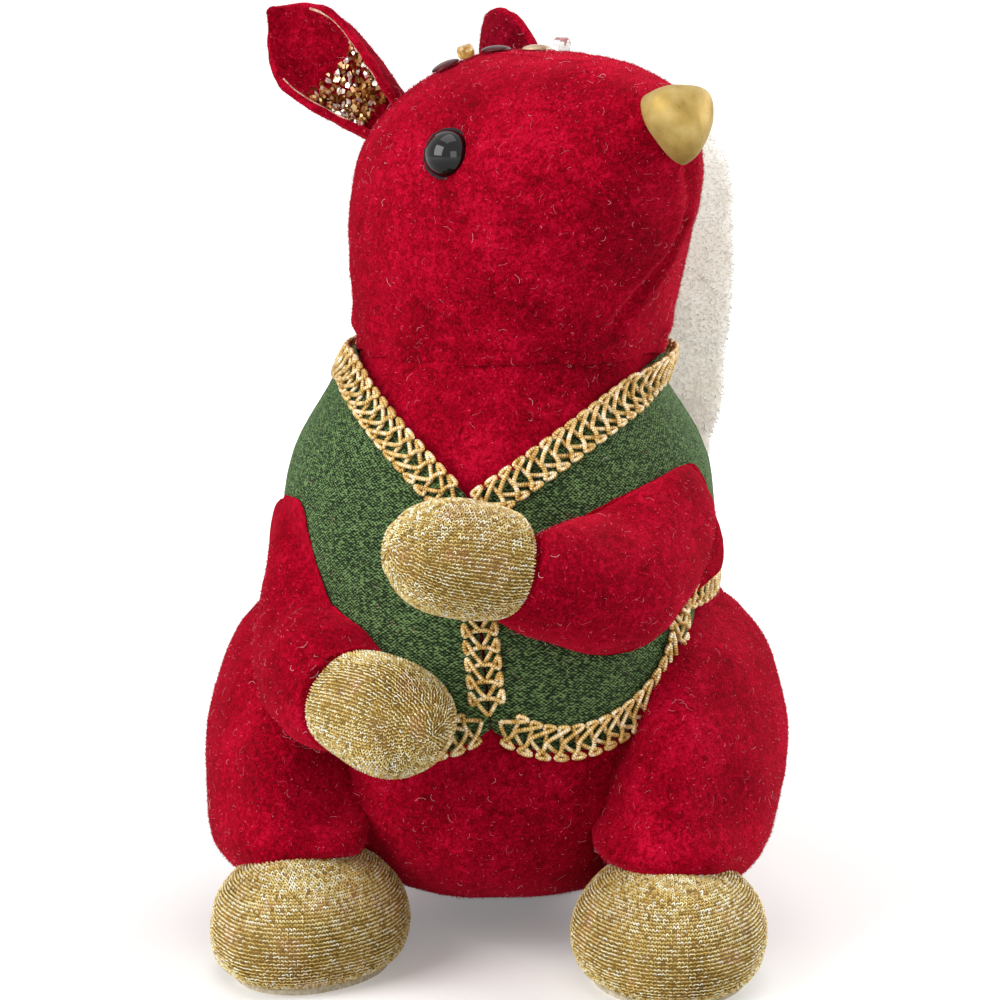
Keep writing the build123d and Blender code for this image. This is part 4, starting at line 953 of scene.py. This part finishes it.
done = addNode(knitTree, "GeometryNodeSetMaterial", {"Geometry": smooth, "Material": given["Material"]}).outputs[0]
addNode(knitTree, "NodeGroupOutput", {"Geometry": done})

# the real knit is finer, about 0.6 mm from stitch to stitch; it is drawn coarser
knitSizes = {"wale": 0.8, "course": 0.8, "yarn": 0.17}
random = np.random.default_rng(7)
for seed, (name, (bodyName, rings)) in enumerate(knits.items()):
    normals = gridNormals(rings)
    steps = np.linalg.norm(np.diff(rings, axis=0), axis=2).mean(1) + 1e-6
    far = np.concatenate([[0], np.cumsum(steps)])
    girths = np.linalg.norm(np.roll(rings, -1, 1) - rings, axis=2).sum(1)
    most = int(girths.max() / knitSizes["wale"])
    points, outs, wales, stretches, glints = [], [], [], [], []
    for want in np.arange(knitSizes["course"], far[-1], knitSizes["course"]):
        i = min(np.searchsorted(far, want), len(far) - 1)
        f = (want - far[i - 1]) / (far[i] - far[i - 1])
        ring, girth = rings[i - 1] * (1 - f) + rings[i] * f, girths[i - 1] * (1 - f) + girths[i] * f
        around = np.concatenate([[0], np.cumsum(np.linalg.norm(np.roll(ring, -1, 0) - ring, axis=1))])
        number = most if girth > 0.75 * girths.max() else max(4, round(girth / knitSizes["wale"]))
        spots = np.interp(np.arange(number) * around[-1] / number, around, np.arange(len(ring) + 1)) % len(ring)
        low, f = spots.astype(int), (spots % 1)[:, None]
        high = (low + 1) % len(ring)
        point = ring[low] * (1 - f) + ring[high] * f
        after = rings[min(i + 1, len(rings) - 1)][low] - rings[max(i - 1, 0)][low]
        size = girth / number / knitSizes["wale"]
        if "hand" in name:
            after = ring[high] - ring[low]
        points.append(point + normals[i][low] * 0.12)
        outs.append(normals[i][low])
        wales.append(after / np.maximum(np.linalg.norm(after, axis=1, keepdims=True), 1e-6))
        stretches.append(np.tile((1.0, size, 1.0) if "hand" in name else (size, 1.0, 1.0), (number, 1)))
        # a random tone for each stitch; its highest values become painted glints in the yarn's colour
        glints.append(np.tile(random.random((number, 1)), 3))
    base = pointObject(np.concatenate(points), [], out=np.concatenate(outs), wale=np.concatenate(wales), stretch=np.concatenate(stretches), glint=np.concatenate(glints))
    mesh = grown(name + "_knit", knitTree, base, {"Yarn radius": knitSizes["yarn"] * mm, "Seed": seed + 5, "Material": lurexYarn})
    addPiece(name + "_knit", mesh, None, bodyName)
    bpy.data.objects.remove(base)
    print(name, "stitches:", sum(len(p) for p in points))

# Ears: cupped leaves of velvet, lined, with a raw edge inside the rim and crushed glass in the cup
earSizes = {"length": 36.0, "layers": 1.6, "place": (-0.33, 0.53, 0.73), "flare": {"right": 44.0, "left": 15.0}, "lift": {"right": 41.0, "left": 33.0},
            "rows": ((0.0, 6.0, 140, 6.4), (0.3, 8.6, 118, 8.0), (0.6, 10.2, 92, 7.4), (0.8, 9.6, 62, 5.4), (0.93, 8.0, 32, 3.4), (1.0, 6.0, 12, 2.4))}
cordTree, given = startTree("plainCord", {"Radius": "NodeSocketFloat", "Material": "NodeSocketMaterial"})
path = addNode(cordTree, "GeometryNodeMeshToCurve", {"Mesh": given["Geometry"]}).outputs[0]
profile = addNode(cordTree, "GeometryNodeCurvePrimitiveCircle", {"Resolution": 6, "Radius": given["Radius"]}).outputs[0]
cord = addNode(cordTree, "GeometryNodeCurveToMesh", {"Curve": path, "Profile Curve": profile, "Fill Caps": True}).outputs[0]
real = addNode(cordTree, "GeometryNodeRealizeInstances", {"Geometry": cord}).outputs[0]
done = addNode(cordTree, "GeometryNodeSetMaterial", {"Geometry": real, "Material": given["Material"]}).outputs[0]
addNode(cordTree, "NodeGroupOutput", {"Geometry": done})

chipTree, given = startTree("crushedGlass", {"Spacing": "NodeSocketFloat", "Size": "NodeSocketFloat", "Seed": "NodeSocketInt", "Amber": "NodeSocketMaterial", "Clear": "NodeSocketMaterial"})
spots = addNode(chipTree, "GeometryNodeDistributePointsOnFaces", {"Mesh": given["Geometry"], "Distance Min": given["Spacing"], "Density Max": 2e6, "Seed": given["Seed"]}, distribute_method="POISSON").outputs["Points"]
chip = addNode(chipTree, "GeometryNodeMeshCone", {"Vertices": 5, "Radius Top": 0.45, "Radius Bottom": 0.95, "Depth": 0.9}).outputs["Mesh"]
spin = result(addNode(chipTree, "FunctionNodeRandomValue", {"Min": (0, 0, 0), "Max": (6.2832, 6.2832, 6.2832), "Seed": given["Seed"]}, data_type="FLOAT_VECTOR"))
spin = addNode(chipTree, "FunctionNodeEulerToRotation", {"Euler": spin}).outputs[0]
grow = result(addNode(chipTree, "FunctionNodeRandomValue", {"Min": (0.5, 0.5, 0.5), "Max": (1.25, 0.95, 1.1), "Seed": given["Seed"]}, data_type="FLOAT_VECTOR"))
grow = addNode(chipTree, "ShaderNodeVectorMath", {0: grow, "Scale": given["Size"]}, operation="SCALE").outputs[0]
placed = addNode(chipTree, "GeometryNodeInstanceOnPoints", {"Points": spots, "Instance": chip, "Rotation": spin, "Scale": grow}).outputs[0]
tone = result(addNode(chipTree, "FunctionNodeRandomValue", {"Min": 0.0, "Max": 1.0, "Seed": given["Seed"]}, data_type="FLOAT"))
placed = addNode(chipTree, "GeometryNodeStoreNamedAttribute", {"Geometry": placed, "Name": "tone", "Value": tone}, domain="INSTANCE").outputs[0]
real = addNode(chipTree, "GeometryNodeRealizeInstances", {"Geometry": placed}).outputs[0]
amber = addNode(chipTree, "GeometryNodeSetMaterial", {"Geometry": real, "Material": given["Amber"]}).outputs[0]
tone = result(addNode(chipTree, "GeometryNodeInputNamedAttribute", {"Name": "tone"}, data_type="FLOAT"))
pale = result(addNode(chipTree, "FunctionNodeCompare", {0: tone, 1: 0.74}, operation="GREATER_THAN"))
done = addNode(chipTree, "GeometryNodeSetMaterial", {"Geometry": amber, "Selection": pale, "Material": given["Clear"]}).outputs[0]
addNode(chipTree, "NodeGroupOutput", {"Geometry": done})


def earPoint(side, along, across, inset):  # across runs from -1 to 1 between the rims
    z = earSizes
    lift, flare = math.radians(z["lift"][side]), math.radians(z["flare"][side])
    way = np.array((-math.cos(lift) * math.cos(flare), sides[side] * math.cos(lift) * math.sin(flare), math.sin(lift))) @ headWays
    flat = np.cross(way, np.array((1, sides[side], 0)) @ headWays)
    flat = flat / np.linalg.norm(flat)
    base = headPoint(headSizes["muzzle"] * z["place"][0], sides[side] * headSizes["halfWidth"] * z["place"][1], headSizes["height"] * z["place"][2])
    radius, turn, depth = (np.interp(along, earFine[:, 0], earFine[:, k]) for k in (1, 2, 3))
    angle = across * math.radians(turn)
    x, y = (radius - inset) * math.sin(angle), depth - radius + (radius - inset) * math.cos(angle)
    return base + flat * x + np.cross(way, flat) * y + way * z["length"] * along


earFine = spread(earSizes["rows"], 60)
# the lining is a darker copy of the crimson velvet: partly the pile lying the other way, partly painted shade inside
# the cupped ear
shadedLiningLook = {"deep": "#3A0007", "body": "#6A0012", "tip": "#98082A", "pile": 0.4, "clump": 1.5, "brushed": 6.0}
shadedEarLining = velvetMaterial("liningVelvetPaintedShade", shadedLiningLook)
for seed, side in enumerate(sides):
    z = earSizes
    rings = []
    for along in np.linspace(0, 1, 70):
        outside = [earPoint(side, along, u, 0.0) for u in np.linspace(-1, 1, 40)]
        inside = [earPoint(side, along, u, z["layers"]) for u in np.linspace(0.99, -0.99, 40)]
        rings.append(np.array(outside + inside))
    rings = np.array(rings)
    middle = rings.mean(1, keepdims=True)
    if np.mean(np.einsum("ijk,ijk->ij", gridNormals(rings)[:, :40], (rings - middle)[:, :40])) < 0:
        rings = rings[:, ::-1]
    rings = ruffled(domed(rings, 0.2, 0.8), 3, 0.35, 71 + seed)
    mesh = gridMesh(f"{side}_ear_leaf", rings)
    addPiece(f"{side}_ear_leaf", mesh, velvet, "head", [f"{side}_ear", f"{side}_ear_lining"])
    mesh.materials.append(shadedEarLining)
    # the inner faces take the darker lining, painted shade in the cup
    for i, polygon in enumerate(mesh.polygons):
        polygon.material_index = int(i % 80 >= 42 and i % 80 <= 76)
    for label, rim, reach in (("upper", 0.96, 0.82), ("lower", -0.96, 0.66)):
        line = [earPoint(side, t, rim, z["layers"] + 0.05) for t in np.linspace(0.2, reach, 40)]
        base = pointObject(line, [(i, i + 1) for i in range(39)])
        name = f"{side}_ear_{label}_edge"
        addPiece(name, grown(name, cordTree, base, {"Radius": 0.3 * mm, "Material": rawEdge}), None, "head")
        bpy.data.objects.remove(base)
    patch = np.array([[earPoint(side, t, u, z["layers"] + 0.5) for u in np.linspace(-0.8, 0.9, 16)] for t in np.linspace(0.14, 0.5, 16)])
    mesh = bpy.data.meshes.new("patch")
    mesh.from_pydata((patch.reshape(-1, 3) * mm).tolist(), [], [(i * 16 + j, i * 16 + j + 1, i * 16 + j + 17, i * 16 + j + 16) for i in range(15) for j in range(15)])
    base = addObject("patch", mesh)
    name = f"{side}_ear_glass"
    chips = grown(name, chipTree, base, {"Spacing": 0.85 * mm, "Size": 1.0 * mm, "Seed": seed + 3, "Amber": chipMats[0], "Clear": chipMats[1]})
    addPiece(name, chips, None, "head", [f"{side}_ear_chips"])
    bpy.data.objects.remove(base)
print("ears done")


# Eyes, nose and the trim on the crown
def turned(profile, place, way, cols=40):
    a, b, way = aimed(way)
    angle = np.arange(cols) * 2 * math.pi / cols
    ring = np.cos(angle)[:, None] * a + np.sin(angle)[:, None] * b
    return np.array([place + ring * r + way * h for r, h in profile])


eyeSizes = {"radius": 5.0, "dome": 4.2, "socket": 0.8, "stem": (1.3, 9.0), "place": (0.335, 0.68)}
eyeRim, tree, shader = newMaterial("blackBacking")
place = addNode(tree, "ShaderNodeTexCoord").outputs["Object"]
fibres = addNode(tree, "ShaderNodeTexNoise", {"Vector": place, "Scale": 1 / (0.5 * mm), "Detail": 3.0})
colour = addNode(tree, "ShaderNodeValToRGB", {"Fac": fibres.outputs[0]}, stops=[(0.4, "#0C0506"), (0.75, "#35101A")])
tree.links.new(colour.outputs["Color"], shader.inputs["Base Color"])
shader.inputs["Roughness"].default_value = 0.9
for side, sign in sides.items():
    z = eyeSizes
    middle = headPoint(headSizes["muzzle"] * z["place"][0], 0, headSizes["height"] * z["place"][1])
    seat, way, _, _ = headTree.ray_cast(Vector(middle), Vector(headWays[1] * sign))
    seat, way = np.array(seat), np.array(way) * (1 if Vector(way).dot(Vector(headWays[1] * sign)) > 0 else -1)
    way = way + 0.35 * headWays[0]
    way = way / np.linalg.norm(way)
    ball = (z["radius"] ** 2 + z["dome"] ** 2) / (2 * z["dome"])
    steps = np.linspace(math.acos((ball - z["dome"]) / ball), 0.03, 24)
    profile = [(z["stem"][0], -z["stem"][1]), (z["stem"][0], -z["socket"]), (z["radius"], -z["socket"])]
    profile += [(ball * math.sin(t), z["dome"] - ball + ball * math.cos(t)) for t in steps]
    addPiece(f"{side}_eye_dome", gridMesh(f"{side}_eye_dome", turned(profile, seat, way, 64)), eyeBlack, "head", [f"{side}_eye"])
    ring = turned([(5.05, -0.8), (5.4, -0.5), (5.5, 0.0), (5.3, 0.2), (5.06, 0.15)], seat, way, 90)
    addPiece(f"{side}_eye_backing", gridMesh(f"{side}_eye_backing", ruffled(ring, 0.9, 0.25, 81 + sign)), eyeRim, "head")

noseSizes = {"width": 15.0, "rise": 7.2, "drop": 8.8, "round": 5.4, "depth": 8.0, "pitch": 22.0, "socket": 0.8, "place": 0.70}
z = noseSizes
pitch = math.radians(z["pitch"])
way = np.array((math.cos(pitch), 0, math.sin(pitch))) @ headWays
down = np.array((math.sin(pitch), 0, -math.cos(pitch))) @ headWays
start = headPoint(headSizes["muzzle"] - z["width"], 0, headSizes["height"] * z["place"])
seat = np.array(headTree.ray_cast(Vector(start), Vector(way))[0]) + rightward * 1.2
half = z["width"] / 2
corners = [(-z["rise"], -half * 1.1), (-z["rise"] * 1.14, 0), (-z["rise"], half * 1.1), (1.0, half * 0.95), (z["drop"] * 1.18, 0), (1.0, -half * 0.95)]
outline = evened(np.array(corners), 240)
reach = np.arange(-60, 61) * 2 * (z["rise"] + z["drop"] + z["width"]) / 240 / z["round"]
weights = np.exp(-reach**2) / np.exp(-reach**2).sum()
outline = sum(np.roll(outline, k, 0) * w for k, w in zip(range(-60, 61), weights))[::2]
rings = []
for along in np.linspace(-0.1, 1, 40):
    share = (1 - max(along, 0) ** 2.6) ** (1 / 2.2)
    rings.append(seat + way * z["depth"] * along + (outline[:, :1] * down + outline[:, 1:] * np.cross(way, down)) * max(share, 0.03))
rings = np.array(rings)
addPiece("nose_moulding", gridMesh("nose_moulding", ruffled(rings, 5, 0.2, 91)), noseGold, "head", ["nose"])

trimSizes = {"bead": (1.9, 2.8)}
sequinProfile = [(0.5, 0.75), (1.3, 0.7), (2.3, 0.45), (2.9, 0.2), (3.2, -0.1), (3.24, 0.02), (2.95, 0.36), (2.35, 0.62), (1.3, 0.88), (0.5, 0.92)]


def crownSeat(x):  # on the crest of the crown, as the picture shows it
    for y in range(0, 140):
        point, normal, _, _ = headTree.ray_cast(Vector(eyePoint), Vector(seenAt(x, y)))
        if point:
            return np.array(point), np.array(normal)


for i, (x, mat) in enumerate(((446, "burgundySequin"), (496, "burgundySequin"), (537, "champagneSequin"))):
    point, normal = crownSeat(x)
    mesh = gridMesh("sequin", turned(sequinProfile, point + normal * 0.25, normal, 28))
    addPiece(f"crown_sequin_{i + 1}", mesh, trimMats[mat], "head", ["crown_sequins"])
for name, (x, mat) in {"gold_bead": (468, "goldLinedGlass"), "clear_bead": (562, "clearGlass")}.items():
    point, normal = crownSeat(x)
    radius, length = trimSizes["bead"]
    angles = np.linspace(-1.35, 1.35, 12)
    profile = [(0.45, length / 2 * (1 + math.sin(-1.35)))] + [(radius - 0.75 + 0.75 * math.cos(a), length / 2 * (1 + math.sin(a))) for a in angles]
    addPiece(f"{name}_glass", gridMesh(f"{name}_glass", turned(profile, point + normal * 0.3, normal, 24)), trimMats[mat], "head", [name])
print("face and trim done")

# Pile and lint: short hairs on the velvet and the plush, and stray fibres that cling to them
pileTree, given = startTree("standingPile", {
    "Density": "NodeSocketFloat", "Length": "NodeSocketFloat", "Radius": "NodeSocketFloat", "Lean low": "NodeSocketVector", "Lean high": "NodeSocketVector",
    "Seed": "NodeSocketInt", "Material": "NodeSocketMaterial"})
spots = addNode(pileTree, "GeometryNodeDistributePointsOnFaces", {"Mesh": given["Geometry"], "Density": given["Density"], "Seed": given["Seed"]})
hair = addNode(pileTree, "GeometryNodeMeshCone", {"Vertices": 3, "Radius Top": 0.0, "Radius Bottom": given["Radius"], "Depth": given["Length"]}, fill_type="NONE").outputs["Mesh"]
lean = result(addNode(pileTree, "FunctionNodeRandomValue", {"Min": given["Lean low"], "Max": given["Lean high"], "Seed": given["Seed"]}, data_type="FLOAT_VECTOR"))
lean = addNode(pileTree, "FunctionNodeEulerToRotation", {"Euler": lean}).outputs[0]
facing = addNode(pileTree, "FunctionNodeRotateRotation", {"Rotation": spots.outputs["Rotation"], "Rotate By": lean}, rotation_space="LOCAL").outputs[0]
grow = result(addNode(pileTree, "FunctionNodeRandomValue", {"Min": 0.55, "Max": 1.15, "Seed": given["Seed"]}, data_type="FLOAT"))
placed = addNode(pileTree, "GeometryNodeInstanceOnPoints", {"Points": spots.outputs["Points"], "Instance": hair, "Rotation": facing, "Scale": grow}).outputs[0]
shade = result(addNode(pileTree, "FunctionNodeRandomValue", {"Min": 0.0, "Max": 1.0, "Seed": given["Seed"]}, data_type="FLOAT"))
placed = addNode(pileTree, "GeometryNodeStoreNamedAttribute", {"Geometry": placed, "Name": "shade", "Value": shade}, domain="INSTANCE").outputs[0]
real = addNode(pileTree, "GeometryNodeRealizeInstances", {"Geometry": placed}).outputs[0]
smooth = addNode(pileTree, "GeometryNodeSetShadeSmooth", {"Geometry": real}).outputs[0]
done = addNode(pileTree, "GeometryNodeSetMaterial", {"Geometry": smooth, "Material": given["Material"]}).outputs[0]
addNode(pileTree, "NodeGroupOutput", {"Geometry": done})

lintTree, given = startTree("strayFibres", {"Density": "NodeSocketFloat", "Radius": "NodeSocketFloat", "Seed": "NodeSocketInt", "Material": "NodeSocketMaterial"})
spots = addNode(lintTree, "GeometryNodeDistributePointsOnFaces", {"Mesh": given["Geometry"], "Density": given["Density"], "Seed": given["Seed"]})
bow = addNode(lintTree, "GeometryNodeCurveQuadraticBezier", {"Resolution": 4, "Start": (-1.1 * mm, 0, 0.25 * mm), "Middle": (0.1 * mm, 0.8 * mm, 0.75 * mm), "End": (1.2 * mm, 0.1 * mm, 0.35 * mm)}).outputs[0]
profile = addNode(lintTree, "GeometryNodeCurvePrimitiveCircle", {"Resolution": 3, "Radius": given["Radius"]}).outputs[0]
fibre = addNode(lintTree, "GeometryNodeCurveToMesh", {"Curve": bow, "Profile Curve": profile}).outputs[0]
spin = result(addNode(lintTree, "FunctionNodeRandomValue", {"Min": (-0.25, -0.25, 0.0), "Max": (0.25, 0.25, 6.2832), "Seed": given["Seed"]}, data_type="FLOAT_VECTOR"))
spin = addNode(lintTree, "FunctionNodeEulerToRotation", {"Euler": spin}).outputs[0]
facing = addNode(lintTree, "FunctionNodeRotateRotation", {"Rotation": spots.outputs["Rotation"], "Rotate By": spin}, rotation_space="LOCAL").outputs[0]
grow = result(addNode(lintTree, "FunctionNodeRandomValue", {"Min": (0.25, -1.4, 0.7), "Max": (1.0, 1.4, 1.2), "Seed": given["Seed"]}, data_type="FLOAT_VECTOR"))
placed = addNode(lintTree, "GeometryNodeInstanceOnPoints", {"Points": spots.outputs["Points"], "Instance": fibre, "Rotation": facing, "Scale": grow}).outputs[0]
shade = result(addNode(lintTree, "FunctionNodeRandomValue", {"Min": 0.0, "Max": 1.0, "Seed": given["Seed"]}, data_type="FLOAT"))
placed = addNode(lintTree, "GeometryNodeStoreNamedAttribute", {"Geometry": placed, "Name": "shade", "Value": shade}, domain="INSTANCE").outputs[0]
real = addNode(lintTree, "GeometryNodeRealizeInstances", {"Geometry": placed}).outputs[0]
done = addNode(lintTree, "GeometryNodeSetMaterial", {"Geometry": real, "Material": given["Material"]}).outputs[0]
addNode(lintTree, "NodeGroupOutput", {"Geometry": done})

pileMats = {}
# each hair takes a random tone; on the crimson pile the palest pink, on a few hairs, is a painted highlight, the glint
# of the velvet's pile
for name, stops in {"crimsonPile": [(0.0, "#5C000A"), (0.6, "#9A001A"), (0.92, "#CC1738"), (1.0, "#F07488")], "creamPile": [(0.0, "#F0E4CE"), (0.5, "#FBF5E9"), (1.0, "#FFFFFA")]}.items():
    mat, tree, shader = newMaterial(name)
    shade = addNode(tree, "ShaderNodeAttribute", attribute_name="shade").outputs["Fac"]
    colour = addNode(tree, "ShaderNodeValToRGB", {"Fac": shade}, stops=stops)
    tree.links.new(colour.outputs["Color"], shader.inputs["Base Color"])
    shader.inputs["Roughness"].default_value = 0.6
    shader.inputs["Specular IOR Level"].default_value = 0.05
    pileMats[name] = mat

vestCover = nodeTree("vest_right_front", "vest_left_front", "vest_back")


def bareFaces(mesh, hides):  # the part of a piece that nothing lies on
    points = meshPoints(mesh)
    kept = []
    for polygon in mesh.polygons:
        middle = Vector(polygon.center) / mm
        if len(polygon.vertices) == 4 and not any(hide(middle) for hide in hides):
            kept.append(tuple(polygon.vertices))
    bare = bpy.data.meshes.new("bare")
    bare.from_pydata((points * mm).tolist(), [], kept)
    return addObject("bare", bare)


underVest = lambda p: vestCover.find_nearest(p, 3.5)[0] is not None
underThigh = lambda p: any(depthIn(tree, p) > 0 for tree in thighTrees.values())
inBody = lambda p: depthIn(bodyTree, p) > 0
inHead = lambda p: depthIn(headTree, p) > 0
pileSizes = {"length": 0.55, "radius": 0.07, "perSquareMm": 1.6, "lintRadius": 0.028, "lintPerSquareMm": 0.03}
velvetPieces = {"body": ("body", [underVest, underThigh]), "right_thigh": ("body", [inBody]), "left_thigh": ("body", [inBody]), "head": ("head", []),
                "right_arm_sleeve": ("right_arm", [underVest]), "left_arm_sleeve": ("left_arm", [underVest]), "right_ear_leaf": ("head", [inHead]), "left_ear_leaf": ("head", [inHead])}
for seed, (name, (bodyName, hides)) in enumerate(velvetPieces.items()):
    z = pileSizes
    base = bareFaces(bpy.data.objects[name].data, hides)
    values = {"Density": z["perSquareMm"] / mm**2, "Length": z["length"] * mm, "Radius": z["radius"] * mm, "Lean low": (-0.9, -0.9, 0), "Lean high": (0.9, 0.9, 6.28), "Seed": seed, "Material": pileMats["crimsonPile"]}
    addPiece(name + "_pile", grown(name + "_pile", pileTree, base, values), None, bodyName)
    values = {"Density": z["lintPerSquareMm"] / mm**2, "Radius": z["lintRadius"] * mm, "Seed": seed + 20, "Material": lint}
    addPiece(name + "_lint", grown(name + "_lint", lintTree, base, values), None, bodyName)
    bpy.data.objects.remove(base)
for seed, name in enumerate(("vest_right_front", "vest_left_front", "vest_back")):
    base = addObject("bare", bpy.data.objects[name + "_cloth"].data)
    values = {"Density": 0.012 / mm**2, "Radius": pileSizes["lintRadius"] * mm, "Seed": seed + 50, "Material": lint}
    addPiece(name + "_lint", grown(name + "_lint", lintTree, base, values), None, "body")
    bpy.data.objects.remove(base)
plushSizes = {"length": 1.4, "radius": 0.13, "perSquareMm": 1.9}
z = plushSizes
base = bareFaces(bpy.data.objects["tail"].data, [])
values = {"Density": z["perSquareMm"] / mm**2, "Length": z["length"] * mm, "Radius": z["radius"] * mm, "Lean low": (-0.8, -0.8, 0), "Lean high": (0.8, 0.8, 6.28), "Seed": 40, "Material": pileMats["creamPile"]}
addPiece("tail_pile", grown("tail_pile", pileTree, base, values), None, "body")
bpy.data.objects.remove(base)

# Felt, wood and wire stay as the CAD has them
for node, mat in {"seat_disc": felt, "right_sole": felt, "left_sole": felt, "neck_dowel": beech, "tail_peg": beech, "right_shoulder_pin": steel, "left_shoulder_pin": steel}.items():
    for slot in frame["nodes"][node].material_slots:
        slot.link = "OBJECT"
        slot.material = mat
